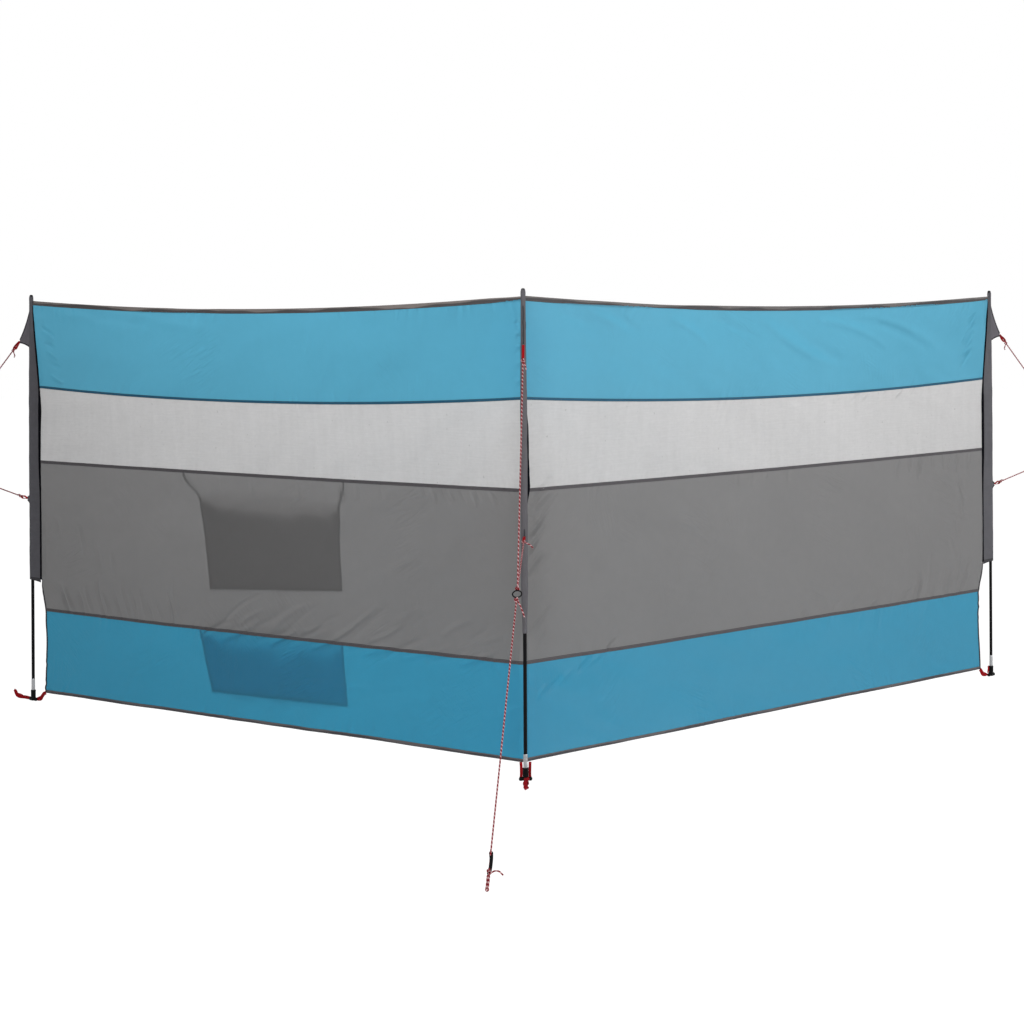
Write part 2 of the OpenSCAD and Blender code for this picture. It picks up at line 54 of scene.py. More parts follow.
TOP_EDGE = (CLOTH_TOP, CLOTH_TOP, 0.036)
SEAM_1 = (1.178, 1.175, 0.035)
SEAM_2 = (0.891, 0.897, 0.008)
SEAM_3 = (0.354, 0.345, 0.007)
HEM = (0.045, 0.036, 0.0)
LINES = (TOP_EDGE, SEAM_1, SEAM_2, SEAM_3, HEM)
TOP_BINDING_H, SEAM_TAPE_H, HEM_H, EDGE_BINDING_W = 0.016, 0.009, 0.011, 0.007
BINDING_T = 0.0026
BAY_BOW = 0.03
SLEEVE_END, TAPER_H = 0.455, 0.43
SEAT_GAP = 0.0003
RIM_REACH = 0.0153
ROPE_D = 0.004

# ---- sizes of the looks alone
CAP_HEIGHTS = (1.503, 1.509, 1.514, 1.5175, 1.5195)
SEAM_TAPE_T, EYE_BULGE, RUNNER_END_R = 0.0022, 0.0075, 0.006
CORD_STEP, WEB_STEP, TAPE_STEP = 0.0026, 0.0022, 0.0095

TURN = 2 * math.pi
ANGLE = math.atan2(BAY_BACK, BAY_ACROSS)
COS_A, SIN_A = math.cos(ANGLE), math.sin(ANGLE)
BAY_LEN = math.hypot(BAY_ACROSS, BAY_BACK)
SIDES = ("left", "right")
POLES = ("left", "middle", "right")
STEP = 0.005


def ease(k):
    c = np.clip(k, 0, 1)
    return c * c * (3 - 2 * c)


def mix(a, b, k):
    return a + (b - a) * k


def shift(line, dz):
    return (line[0] + dz, line[1] + dz, line[2])


def line_height(line, t):
    return mix(line[0], line[1], t) - line[2] * 4 * t * (1 - t)


def sleeve_r(z):
    return POLE_R + 0.0019 + 0.003 * ease((CLOTH_TOP - z) / TAPER_H)


def sleeve_width(z):
    return 0.01 + 0.037 * ease((CLOTH_TOP - z) / TAPER_H)


def free_edge(z):
    return sleeve_width(z) + 0.027 * ease((SLEEVE_END - z) / 0.125)


# ---- noise and creases
def noise(x, y, seed):
    """Smooth noise from -1 to 1 with cells one unit wide."""
    x, y = np.broadcast_arrays(np.asarray(x, float), np.asarray(y, float))
    xi, yi = np.floor(x).astype(np.int64), np.floor(y).astype(np.int64)
    fx, fy = x - xi, y - yi
    fx, fy = fx * fx * fx * (fx * (6 * fx - 15) + 10), fy * fy * fy * (fy * (6 * fy - 15) + 10)

    def corner(i, j):
        n = (i * 374761393 + j * 668265263 + seed * 974634277) & 0xFFFFFFFF
        n = ((n ^ (n >> 13)) * 1274126177) & 0xFFFFFFFF
        return ((n ^ (n >> 16)) & 0xFFFF) / 32767.5 - 1

    low = mix(corner(xi, yi), corner(xi + 1, yi), fx)
    high = mix(corner(xi, yi + 1), corner(xi + 1, yi + 1), fx)
    return mix(low, high, fy)


# Groups of creases in each bay: line that they start from (0 is the top edge and 4 the hem), first and last
# start as (distance along the bay, height above the line), heading in degrees, length, how many, width,
# depth. Heading 0 runs away from the middle pole and 90 runs up.
CREASES = {
    "left": [
        (3, (1.62, 0.006), (2.26, 0.004), 76, 0.15, 14, 0.007, 0.0046),
        (3, (1.95, 0.15), (2.26, 0.27), 74, 0.12, 4, 0.008, 0.0029),
        (3, (1.42, 0.03), (0.7, 0.02), 152, 0.22, 10, 0.008, 0.0029),
        (3, (0.7, 0.09), (0.16, 0.05), 156, 0.17, 6, 0.01, 0.0042),
        (4, (1.5, 0.27), (0.3, 0.28), 161, 0.23, 12, 0.0085, 0.0038),
        (4, (1.1, 0.15), (0.2, 0.12), 172, 0.26, 6, 0.011, 0.0029),
        (2, (0.46, -0.012), (0.1, -0.012), 236, 0.06, 9, 0.0052, 0.0032),
        (0, (1.3, -0.07), (2.2, -0.05), 4, 0.42, 5, 0.018, 0.0055),
        (1, (0.03, 0.14), (0.03, 0.03), 150, 0.055, 5, 0.0055, 0.0025),
        (0, (0.024, -0.085), (0.024, -0.15), 185, 0.014, 4, 0.0048, 0.007),
        (0, (2.33, -0.09), (2.31, -0.27), 205, 0.08, 6, 0.006, 0.0032),
        (2, (0.6, -0.015), (1.4, -0.015), 262, 0.06, 7, 0.007, 0.0025),
        (3, (0.3, 0.35), (0.6, 0.25), 165, 0.2, 4, 0.015, 0.0034),
    ],
    "right": [
        (0, (2.31, -0.07), (2.29, -0.21), 226, 0.1, 9, 0.006, 0.0036),
        (0, (0.9, -0.05), (1.8, -0.06), -17, 0.42, 6, 0.017, 0.0056),
        (0, (0.1, -0.03), (0.6, -0.05), -24, 0.26, 4, 0.016, 0.0055),
        (1, (1.45, -0.01), (1.95, -0.01), 218, 0.05, 7, 0.0052, 0.0029),
        (3, (0.02, 0.25), (0.04, 0.5), 40, 0.13, 9, 0.007, 0.0044),
        (3, (0.05, 0.05), (0.05, 0.22), 44, 0.12, 4, 0.008, 0.0034),
        (3, (1.98, 0.006), (2.27, 0.004), 81, 0.17, 8, 0.008, 0.0048),
        (3, (1.35, 0.008), (1.85, 0.006), 36, 0.075, 5, 0.007, 0.0034),
        (2, (1.88, -0.01), (2.29, -0.01), 266, 0.075, 9, 0.006, 0.004),
        (2, (1.00, -0.01), (1.25, -0.01), 262, 0.04, 4, 0.006, 0.0025),
        (4, (0.06, 0.19), (0.34, 0.29), 37, 0.085, 6, 0.0072, 0.0036),
        (3, (2.2, 0.13), (2.28, 0.44), 100, 0.11, 5, 0.0085, 0.004),
        (3, (1.4, -0.012), (2.1, -0.015), 258, 0.08, 7, 0.009, 0.0029),
    ],
}


def crease_list(side):
    made = []
    first_seed = 40 if side == "left" else 40 + len(CREASES["left"])
    for seed, (line, first, last, heading, length, count, width, depth) in enumerate(CREASES[side],
                                                                                     first_seed):
        rng = np.random.default_rng(seed)
        for i in range(count):
            at = (i + rng.uniform(-0.35, 0.35)) / max(count - 1, 1)
            turn = math.radians(heading + rng.uniform(-7, 7))
            run = length * rng.uniform(0.55, 1.15)
            sharp = 1.8 if width < 0.0088 else 0.85
            deep = sharp * depth * rng.uniform(0.45, 1.0) * (1 if i % 2 else -0.8)
            s = mix(first[0], last[0], at)
            z = line_height(LINES[line], s / BAY_LEN) + mix(first[1], last[1], at)
            made.append((s, z, math.cos(turn), math.sin(turn), run, width * rng.uniform(0.8, 1.3), deep,
                         rng.uniform(-0.12, 0.12)))
    return made


SIDE_CREASES = {side: crease_list(side) for side in SIDES}


def relief(side, t, z):
    """How far the cloth stands back from its smooth surface at each place."""
    t, z = np.broadcast_arrays(np.asarray(t, float), np.asarray(z, float))
    seed = 11 if side == "left" else 53
    s = t * BAY_LEN
    seams = [shift(TOP_EDGE, -TOP_BINDING_H), SEAM_1, SEAM_2, SEAM_3, shift(HEM, HEM_H)]
    out = 0.0075 * noise(s / 0.62, z / 0.3, seed) + 0.0034 * noise(s / 0.24 + z / 0.5, z / 0.11, seed + 1)
    out = out + 0.0015 * noise(s / 0.085 + z / 0.11, z / 0.07, seed + 2)
    for upper, lower, fullness in zip(seams[:-1], seams[1:], (0.004, 0.003, 0.007, 0.005)):
        k = np.clip((z - line_height(lower, t)) / (line_height(upper, t) - line_height(lower, t)), 0, 1)
        out = out + fullness * np.sin(math.pi * k) * (0.75 + 0.5 * noise(s / 0.5, 3.1, seed + 3))
    for k, line in enumerate(seams):
        gap = z - line_height(line, t)
        lean = noise(s / 0.45, k + 0.5, seed + 4) * 0.9
        strength = ease(noise(s / 0.16, k * 5.3, seed + 5) * 1.3 + 0.35)
        wave = noise((s + lean * gap) / 0.0155, k * 3.7, seed + 6) + 0.4 * noise((s + lean * gap) / 0.009, k,
                                                                                 seed + 7)
        out = out + 0.0018 * strength * wave * np.exp(-np.abs(gap) / 0.03)
    for edge, reach in ((t, 0.03), (1 - t, 0.026)):
        gap = edge * BAY_LEN
        wave = noise((z + 0.5 * gap) / 0.014, 9.3, seed + 8)
        out = out + 0.0019 * wave * np.exp(-gap / reach) * ease(noise(z / 0.14, 2.2, seed + 9) + 0.6)
    for s0, z0, ds, dz, run, width, deep, curl in SIDE_CREASES[side]:
        near = (np.abs(s - s0) < run + 4 * width) & (np.abs(z - z0) < run + 4 * width)
        if not near.any():
            continue
        a, b = s[near] - s0, z[near] - z0
        k = np.clip((a * ds + b * dz) / run, 0, 1)
        q = (b * ds - a * dz) + curl * run * 4 * k * (1 - k) * 0.5
        over = (a * ds + b * dz) / run - k
        fade = np.sin(math.pi * np.clip(k * 0.86 + 0.14, 0, 1)) ** 0.8 * np.exp(-((over * run / width) ** 2))
        add = np.zeros_like(s)
        add[near] = deep * fade * np.exp(-((q / width) ** 2))
        out = out + add
    pinned = ease(t * BAY_LEN / 0.02) * np.where(z > SLEEVE_END, ease((1 - t) * BAY_LEN / 0.02), 1.0)
    return out * pinned


def bay_point(side, t, z, off=0.0):
    """Places on a bay's cloth: t runs from the middle pole (0) to the end pole (1), off is how far behind."""
    t, z, off = np.broadcast_arrays(np.asarray(t, float), np.asarray(z, float), np.asarray(off, float))
    start = sleeve_width(z) + BINDING_T / 2 / COS_A + SEAT_GAP
    end = free_edge(z) + SEAT_GAP
    bow = BAY_BOW * 4 * t * (1 - t) * np.sin(math.pi * np.clip(z / CLOTH_TOP, 0, 1))
    back = bow + off + relief(side, t, z)
    w = np.clip(t / 0.004, 0, 1)
    x = (BAY_ACROSS - COS_A * end) * t - SIN_A * back * w
    y = start * (1 - t) + (BAY_BACK - SIN_A * end) * t + back * (w * COS_A + (1 - w) / COS_A)
    return np.stack([-x if side == "left" else x, y, z], -1)


# ---- meshes
def laid_out(along, across):
    """Places for the texture over a grid: metres along the piece, and across it."""
    return np.stack(np.meshgrid(along, across), -1)


def grid(name, points, run, look, nodes=(), slot=None, wrap=False, caps=False, flip=False):
    """A mesh over rows and columns of points. wrap joins its last row to its first, caps close its ends.
    run holds each corner's place in metres, with one more row than points where it wraps."""
    points, run = np.asarray(points, float), np.asarray(run, float)
    rows, cols = points.shape[:2]
    span = rows if wrap else rows - 1
    r, c = np.arange(span)[:, None], np.arange(cols - 1)[None, :]
    a, d = r * cols + c, (r + 1) % rows * cols + c
    quads = np.stack([a, a + 1, d + 1, d], -1).reshape(-1, 4)
    corners = np.stack([run[:-1, :-1], run[:-1, 1:], run[1:, 1:], run[1:, :-1]], 2).reshape(-1, 4, 2)
    if flip:
        quads, corners = quads[:, ::-1], corners[:, ::-1]
    faces, places = quads.tolist(), corners.reshape(-1, 2).tolist()
    if caps:
        for col, turn in ((0, 1), (cols - 1, -1)):
            ring = [i * cols + col for i in range(rows)][:: turn * (-1 if flip else 1)]
            faces.append(ring)
            places += [run[0, col].tolist()] * rows
    me = bpy.data.meshes.new(name)
    me.from_pydata(points.reshape(-1, 3).tolist(), [], faces)
    me.uv_layers.new(name="Run").data.foreach_set("uv", np.asarray(places, np.float32).ravel())
    me.materials.append(LOOKS[look])
    me.polygons.foreach_set("use_smooth", [True] * len(quads) + [False] * (len(faces) - len(quads)))
    me.update()
    ob = bpy.data.objects.new(name, me)
    bpy.context.scene.collection.objects.link(ob)
    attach(ob, "root")
    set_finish(ob, slot or SLOTS[look])
    if nodes:
        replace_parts(ob, *nodes)
    return ob


def joined(name, parts):
    """One piece from several, which keeps the first one's slot and stands for all their nodes."""
    nodes = sorted({n for p in parts for n in list(p.get("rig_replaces", []))})
    slot = parts[0]["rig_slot"]
    with bpy.context.temp_override(active_object=parts[0], selected_editable_objects=parts, object=parts[0]):
        bpy.ops.object.join()
    ob = parts[0]
    ob.name = ob.data.name = name
    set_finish(ob, slot)
    if nodes:
        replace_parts(ob, *nodes)
    return ob


def unit(v):
    return np.asarray(v, float) / np.linalg.norm(v)


def headings(path):
    d = np.gradient(path, axis=0)
    return d / np.maximum(np.linalg.norm(d, axis=1)[:, None], 1e-12)


def carried(path, hint):
    """A side direction for each point of a path, carried along it without twist."""
    h = headings(path)
    side = np.asarray(hint, float) - h[0] * (h[0] @ hint)
    if np.linalg.norm(side) < 1e-6:
        side = np.cross(h[0], (0.3, 0.9, 0.2))
    out = [unit(side)]
    for i in range(1, len(path)):
        s = out[-1] - h[i] * (h[i] @ out[-1])
        out.append(unit(s))
    return h, np.array(out)


def distances(path):
    """How far along a path each of its points lies."""
    return np.concatenate([[0], np.cumsum(np.linalg.norm(np.diff(path, axis=0), axis=1))])


def smooth_path(points, step):
    """A smooth curve through the points, cut to even steps."""
    p = np.asarray(points, float)
    ghost = np.vstack([2 * p[0] - p[1], p, 2 * p[-1] - p[-2]])
    fine = []
    for i in range(1, len(ghost) - 2):
        k = np.linspace(0, 1, 24, endpoint=False)[:, None]
        a, b, c, d = ghost[i - 1 : i + 3]
        fine.append(0.5
                    * (2 * b + (c - a) * k + (2 * a - 5 * b + 4 * c - d) * k**2 + (3 * b - a - 3 * c + d)
                       * k**3))
    fine = np.vstack(fine + [p[-1:]])
    run = distances(fine)
    at = np.linspace(0, run[-1], max(3, int(run[-1] / step) + 1))
    return np.stack([np.interp(at, run, fine[:, i]) for i in range(3)], 1)


def sweep(name, path, section, look, nodes=(), hint=(0, 0, 1), roll=None, caps=True, slot=None):
    """A bar swept along a path. section(run) gives its outline at each point, as rows of (side, up)."""
    path = np.asarray(path, float)
    h, side = carried(path, np.asarray(hint, float))
    up = np.cross(h, side)
    if roll is not None:
        c, s = np.cos(roll)[:, None], np.sin(roll)[:, None]
        side, up = side * c + up * s, up * c - side * s
    run = distances(path)
    outline = section(run)
    points = path[None] + side[None] * outline[..., 0:1] + up[None] * outline[..., 1:2]
    places = laid_out(run, np.linspace(0, 1, len(outline) + 1))
    return grid(name, points, places, look, nodes, slot, wrap=True, caps=caps, flip=True)


def around(n):
    return np.arange(n)[:, None] / n * TURN


def squared(v, power):
    """A sine or cosine, pushed out toward a rounded square."""
    return np.sign(v) * np.abs(v) ** power


def round_outline(radius, sides, taper=0.0):
    def outline(run):
        a = around(sides)
        r = radius * np.ones_like(run)
        if taper:
            r = r * np.sqrt(np.clip(np.minimum(run, run[-1] - run) / taper, 0.02, 1))
        return np.stack([np.cos(a) * r, np.sin(a) * r], -1)
    return outline


def rope_outline(radius=ROPE_D * 0.6, sides=12):
    """Braided cord: the outline swells where its strands cross over."""
    def outline(run):
        a = around(sides)
        phase = run[None] / 0.0052 * 2 * math.pi
        strands = np.maximum(np.sin(phase + 3 * a), np.sin(phase - 3 * a))
        r = radius * (0.93 + 0.07 * strands)
        return np.stack([np.cos(a) * r, np.sin(a) * r], -1)
    return outline


def flat_outline(width, thick):
    """Webbing: a flat bar with rolled edges."""
    def outline(run):
        a = around(14) * np.ones_like(run)[None]
        return np.stack([squared(np.cos(a), 0.35) * width / 2, squared(np.sin(a), 0.6) * thick / 2], -1)
    return outline


def lathe(name, profile, centre, look, nodes, steps):
    """A turned piece: profile holds (radius, height) from the bottom up."""
    a = around(steps)
    p = np.asarray(profile, float)
    r, z = p[:, 0][None], p[:, 1][None] * np.ones((steps, 1))
    points = np.stack([centre[0] + r * np.cos(a), centre[1] + r * np.sin(a), centre[2] + z], -1)
    places = laid_out(distances(p), np.linspace(0, 1, steps + 1))
    return grid(name, points, places, look, nodes, wrap=True, caps=True, flip=True)


def at_pole(pole, local):
    """Places given as (out from the cloth, sideways, up) at a pole, in the row frame."""
    p = np.asarray(local, float)
    x, y, z = p[..., 0], p[..., 1], p[..., 2]
    if pole == "middle":
        return np.stack([y, -x, z], -1)
    wx, wy = BAY_ACROSS + COS_A * x - SIN_A * y, BAY_BACK + SIN_A * x + COS_A * y
    return np.stack([-wx if pole == "left" else wx, wy, z], -1)


def sideways(pole):
    return at_pole(pole, (0, 1, 0)) - at_pole(pole, (0, 0, 0))


# ---- materials
def srgb(*levels):
    return tuple(v / 12.92 if v <= 0.04045 else ((v + 0.055) / 1.055) ** 2.4
                 for v in (k / 255 for k in levels)) + (1,)


class Look:
    """A node tree, with short calls for the nodes that the finishes share."""

    def __init__(self, name, world=False):
        self.owner = (bpy.data.worlds if world else bpy.data.materials).new(name)
        self.owner.use_nodes = True
        self.tree = self.owner.node_tree
        self.tree.nodes.clear()
        self.output = self.node("OutputWorld" if world else "OutputMaterial")

    def node(self, kind, sockets=None, **settings):
        n = self.tree.nodes.new("ShaderNode" + kind)
        for key, value in settings.items():
            setattr(n, key, value)
        for key, value in (sockets or {}).items():
            self.feed(n.inputs[key], value)
        return n

    def feed(self, socket, value):
        if isinstance(value, bpy.types.NodeSocket):
            self.tree.links.new(value, socket)
        else:
            socket.default_value = value

    def math(self, operation, a, b=0.0, c=0.0, clamp=False):
        return self.node("Math", {0: a, 1: b, 2: c}, operation=operation, use_clamp=clamp).outputs[0]

    def add(self, a, b):
        return self.math("ADD", a, b)

    def sub(self, a, b, clamp=False):
        return self.math("SUBTRACT", a, b, clamp=clamp)

    def mul(self, a, b, clamp=False):
        return self.math("MULTIPLY", a, b, clamp=clamp)

    def mul_add(self, a, b, c):
        return self.math("MULTIPLY_ADD", a, b, c)

    def ramp(self, a, b, slope):
        """0 until a passes b, then rising to 1."""
        return self.mul(self.sub(a, b), slope, clamp=True)

    def wave(self, value, pitch):
        return self.math("SINE", self.mul(value, TURN / pitch))

    def run(self):
        """Distance along the piece and across it, in metres."""
        self.uv = self.node("UVMap", uv_map="Run").outputs[0]
        split = self.node("SeparateXYZ", {0: self.uv})
        return split.outputs[0], split.outputs[1]

    def place(self):
        return self.node("TexCoord").outputs["Object"]

    def noise(self, vector, scale, detail=2.0, rough=0.5, stretch=None):
        if stretch:
            vector = self.node("Mapping", {"Vector": vector, "Scale": stretch}).outputs[0]
        return self.node("TexNoise",
                         {"Vector": vector, "Scale": scale, "Detail": detail,
                          "Roughness": rough}).outputs["Fac"]

    def mixed(self, factor, a, b):
        return self.node("Mix", {0: factor, 6: a, 7: b}, data_type="RGBA").outputs[2]

    def shade(self, colour, low, high, factor):
        """colour made lighter or darker by factor, which runs from 0 to 1."""
        dark = tuple(v * low for v in colour[:3]) + (1,)
        pale = tuple(min(1, v * high) for v in colour[:3]) + (1,)
        return self.mixed(factor, dark, pale)

    def bump(self, height, distance, strength, under=None):
        n = self.node("Bump", {"Height": height, "Distance": distance, "Strength": strength})
        if under is not None:
            self.feed(n.inputs["Normal"], under)
        return n.outputs[0]

    def weave(self, u, v, pitch):
        return self.mul(self.wave(u, pitch), self.wave(v, pitch))

    def surface(self, colour, rough, normal, metal=0.0, specular=0.5, through=0.0, sheen=0.0):
        last = self.node("BsdfPrincipled",
                         {"Base Color": colour, "Roughness": rough, "Metallic": metal, "Normal": normal,
                                            "Specular IOR Level": specular, "Sheen Weight": sheen}).outputs[0]
        if through:
            behind = self.node("BsdfTranslucent", {"Color": colour, "Normal": normal}).outputs[0]
            last = self.node("MixShader", {0: through, 1: last, 2: behind}).outputs[0]
        self.feed(self.output.inputs["Surface"], last)
        return self.owner


def cloth_look(name, colour, window=False, gloss=0.42):
    look = Look(name)
    u, v = look.run()
    broad = look.noise(look.uv, 2.2, 2)
    if window:
        mottle = look.noise(look.uv, 80, 3, 0.6)
        yarn = look.noise(look.uv, 1, 2, 0.6, stretch=(15, 190, 1))
        streak = look.noise(look.uv, 1, 2, 0.5, stretch=(38, 5, 1))
        tint = look.mul_add(mottle, 0.28, look.mul(broad, 0.14))
        tint = look.mul_add(yarn, 0.34, look.mul_add(streak, 0.24, tint))
        base = look.shade(colour, 0.8, 1.22, tint)
        speck = look.ramp(look.noise(look.uv, 62, 1), 0.735, 14)
        base = look.mixed(look.mul(speck, 0.35), base, srgb(120, 120, 118))
    else:
        fine = look.noise(look.uv, 28, 3)
        base = look.shade(colour, 0.92, 1.08, look.mul_add(fine, 0.35, look.mul(broad, 0.65)))
    normal = look.bump(look.weave(u, v, 0.0011), 0.00004, 0.5)
    normal = look.bump(look.noise(look.uv, 46, 4, 0.55), 0.0011, 0.42, normal)
    for turn, stretch, depth in ((0.45, (7, 42, 1), 0.0034), (-0.7, (9, 50, 1), 0.0024),
                                 (1.35, (8, 46, 1), 0.0022)):
        turned = look.node("VectorRotate", {"Vector": look.uv, "Angle": turn},
                           rotation_type="Z_AXIS").outputs[0]
        ridge = look.math("ABSOLUTE", look.sub(look.noise(turned, 1, 2, 0.45, stretch=stretch), 0.5))
        sharp = look.sub(1.0, look.mul(ridge, 9.0), clamp=True)
        place = look.ramp(look.noise(turned, 3.3, 1), 0.56, 5.0)
        normal = look.bump(look.mul(sharp, place), depth * (0.25 if window else 0.6), 0.5, normal)
    return look.surface(base, 0.55, normal, specular=gloss, through=0.55, sheen=0.08)


def tape_look(name, colour, pale=None, half=0.0045, through=0.0):
    """Folded tape with a row of stitches near each edge. Across runs from -half to half."""
    look = Look(name)
    u, v = look.run()
    base = look.shade(colour, 0.85, 1.14, look.noise(look.uv, 30, 3))
    if pale is not None:
        wander = look.noise(look.node("CombineXYZ", {0: u}).outputs[0], 3.1, 2)
        place = look.mul_add(v, 1.5 / half, look.mul_add(wander, 9.0, -4.4))
        base = look.mixed(look.mul(place, 1.3, clamp=True), base, pale)
    row = look.math("ABSOLUTE", look.sub(look.math("ABSOLUTE", v), half * 0.62))
    on_row = look.sub(1.0, look.mul(row, 1800), clamp=True)
    stitch = look.mul(on_row, look.math("GREATER_THAN", look.wave(u, 0.0034), -0.35))
    base = look.mixed(look.mul(stitch, 0.45), base, srgb(150, 148, 148))
    normal = look.bump(look.wave(u, 0.0016), 0.00006, 0.6)
    normal = look.bump(stitch, 0.0004, 0.7, normal)
    normal = look.bump(look.noise(look.uv, 90, 3), 0.0006, 0.4, normal)
    return look.surface(base, 0.62, normal, specular=0.25, through=through)


def sleeve_look(name, colour, stripe=None, through=0.15, gloss=0.3, pucker=0.0011):
    look = Look(name)
    u, v = look.run()
    base = look.shade(colour, 0.84, 1.16, look.noise(look.uv, 34, 3))
    if stripe is not None:
        base = look.mixed(look.ramp(0.011, u, 900), base, stripe)
    normal = look.bump(look.weave(u, v, 0.0012), 0.00005, 0.5)
    normal = look.bump(look.noise(look.uv, 1, 3, 0.55, stretch=(120, 30, 1)), pucker, 0.55, normal)
    return look.surface(base, 0.6, normal, specular=gloss, through=through)


def webbing_look():
    look = Look("red_webbing_weave")
    u, v = look.run()
    weave = look.mul(look.wave(u, 0.0019), look.wave(v, 1 / 20))
    base = look.shade(srgb(160, 10, 20), 0.5, 1.2, look.mul_add(weave, 0.25, look.noise(look.uv, 60, 3)))
    normal = look.bump(weave, 0.00018, 0.8)
    normal = look.bump(look.noise(look.uv, 120, 2), 0.0007, 0.5, normal)
    return look.surface(base, 0.68, normal, specular=0.1)


def cord_look():
    look = Look("guy_cord_braid")
    u, v = look.run()
    turn = look.math("FRACT", look.add(look.mul(u, 1 / 0.0125), v))
    fleck = look.math("LESS_THAN", look.math("ABSOLUTE", look.sub(turn, 0.5)), 0.19)
    red = look.shade(srgb(124, 16, 28), 0.5, 1.2, look.noise(look.uv, 200, 2))
    base = look.mixed(look.mul(fleck, 0.85), red, srgb(200, 166, 167))
    one, other = (look.math("SINE", look.mul_add(u, TURN / 0.0026, look.mul(v, k * TURN))) for k in (6, -6))
    return look.surface(base, 0.7, look.bump(look.math("MAXIMUM", one, other), 0.00018, 0.8), specular=0.2)


def plastic_look(name, colour, rough):
    look = Look(name)
    place = look.place()
    base = look.shade(colour, 0.7, 1.5, look.noise(place, 60, 4, 0.6))
    uneven = look.mul_add(look.noise(place, 140, 3), 0.22, rough - 0.11)
    normal = look.bump(look.noise(place, 700, 2), 0.00008, 0.5)
    normal = look.bump(look.noise(place, 45, 2), 0.0005, 0.15, normal)
    return look.surface(base, uneven, normal, specular=0.06)


def metal_look():
    look = Look("ferrule_metal")
    place = look.place()
    brush = look.noise(place, 30, 4, 0.6, stretch=(1, 1, 60))
    base = look.shade(srgb(158, 159, 161), 0.62, 1.15, brush)
    rough = look.mul_add(look.noise(place, 90, 3), 0.25, 0.2)
    return look.surface(base, rough, look.bump(brush, 0.0001, 0.5), metal=0.9)


LOOKS = {
    "top": cloth_look("top_cloth_weave", srgb(85, 165, 194)),
    "window": cloth_look("window_cloth_weave", srgb(201, 200, 200), window=True),
    "middle": cloth_look("middle_cloth_weave", srgb(125, 124, 124)),
    "bottom": cloth_look("bottom_cloth_weave", srgb(50, 146, 180), gloss=0.6),
    "left_binding": tape_look("left_top_binding_fold", srgb(66, 63, 64), srgb(122, 115, 112),
                              TOP_BINDING_H / 2),
    "right_binding": tape_look("right_top_binding_fold", srgb(58, 56, 58), srgb(98, 94, 93),
                               TOP_BINDING_H / 2),
    "blue_tape": tape_look("first_seam_fold", srgb(24, 82, 108), None, SEAM_TAPE_H / 2, 0.15),
    "grey_tape": tape_look("seam_tape_fold", srgb(66, 63, 66), None, SEAM_TAPE_H / 2),
    "hem": tape_look("hem_fold", srgb(56, 54, 58), srgb(88, 83, 84), HEM_H / 2),
    "edge": tape_look("edge_binding_fold", srgb(26, 24, 30), None, EDGE_BINDING_W / 2),
    "sleeve": sleeve_look("end_sleeve_cloth", srgb(80, 79, 84), srgb(40, 39, 43), pucker=0.003),
    "middle_sleeve": sleeve_look("middle_sleeve_cloth", srgb(84, 82, 86)),
    # painted shade: near-black cloth with no translucency or gloss, for the shadow between a sleeve and the bay
    # cloth
    "painted_shade": sleeve_look("painted_seam_shade_cloth", srgb(14, 14, 18), None, 0.0, 0.0),
    "gusset": sleeve_look("gusset_cloth", srgb(92, 89, 95), None, 0.3),
    "webbing": webbing_look(),
    "cord": cord_look(),
    "plastic": plastic_look("black_moulded_plastic", srgb(8, 8, 9), 0.5),
    "pole": plastic_look("pole_gloss", srgb(8, 8, 9), 0.42),
    "metal": metal_look(),
}
# the slot that a piece with each look goes in, unless it says otherwise
SLOTS = {
    "top": "top_cloth", "window": "window_cloth", "middle": "middle_cloth", "bottom": "bottom_cloth",
    "blue_tape": "top_cloth", "grey_tape": "seam_tape", "webbing": "red_webbing", "cord": "guy_cord",
    "plastic": "black_plastic", "metal": "pole_metal",
    **dict.fromkeys(("left_binding", "right_binding", "hem", "edge"), "binding"),
    **dict.fromkeys(("sleeve", "middle_sleeve", "painted_shade", "gusset"), "sleeve_cloth"),
}


# ---- bays
def across_bay(step):
    return np.linspace(0, 1, int(BAY_LEN / step) + 1)


def band(side, look, lower, upper):
    """One panel of cloth, from the middle of one seam to the middle of the next."""
    k = np.linspace(0, 1, int((upper[0] - lower[0]) / STEP) + 1)[:, None]
    tt = across_bay(STEP)[None] * np.ones_like(k)
    z = mix(line_height(lower, tt), line_height(upper, tt), k)
    run = np.stack([tt * BAY_LEN + (3.0 if side == "left" else 0), z], -1)
    name = f"{side}_{look}_band"
    return grid(f"{name}_cloth", bay_point(side, tt, z), run, look, (name,), flip=side == "left")


def tape_rows(width, thick):
    """Outline of a folded tape, as (across it, off the cloth), front first."""
    half = [(-1, 0), (-1, -0.55), (-0.93, -0.95), (-0.7, -0.94), (-0.6, -0.84), (-0.5, -0.96),
            (0, -1), (0.5, -0.96), (0.6, -0.84), (0.7, -0.94), (0.93, -0.95), (1, -0.55)]
    rows = np.array(half + [(-a, -b) for a, b in half]) * (width / 2, thick / 2)
    return rows[:, 0][:, None], rows[:, 1][:, None]


def tape(side, name, line, width, thick, look, nodes=(), wobble=0.0):
    """A folded tape along a line of the bay. wobble lets it lean and narrow in places, as soft binding does."""
    t = across_bay(TAPE_STEP)
    a, d = tape_rows(width, thick)
    s = t * BAY_LEN
    squeeze = 1 - wobble * ease(noise(s / 0.3, 4.4, 5 if side == "left" else 6) * 1.2)
    lean = wobble * 0.006 * noise(s / 0.22, 1.7, 8 if side == "left" else 9)
    z = line_height(line, t)[None] + a * squeeze[None]
    points = bay_point(side, t[None], z, d + lean[None] * a / width * 2)
    return grid(f"{side}_{name}", points, laid_out(s, np.append(a, a[0])), look, nodes, wrap=True, caps=True,
                flip=side == "right")


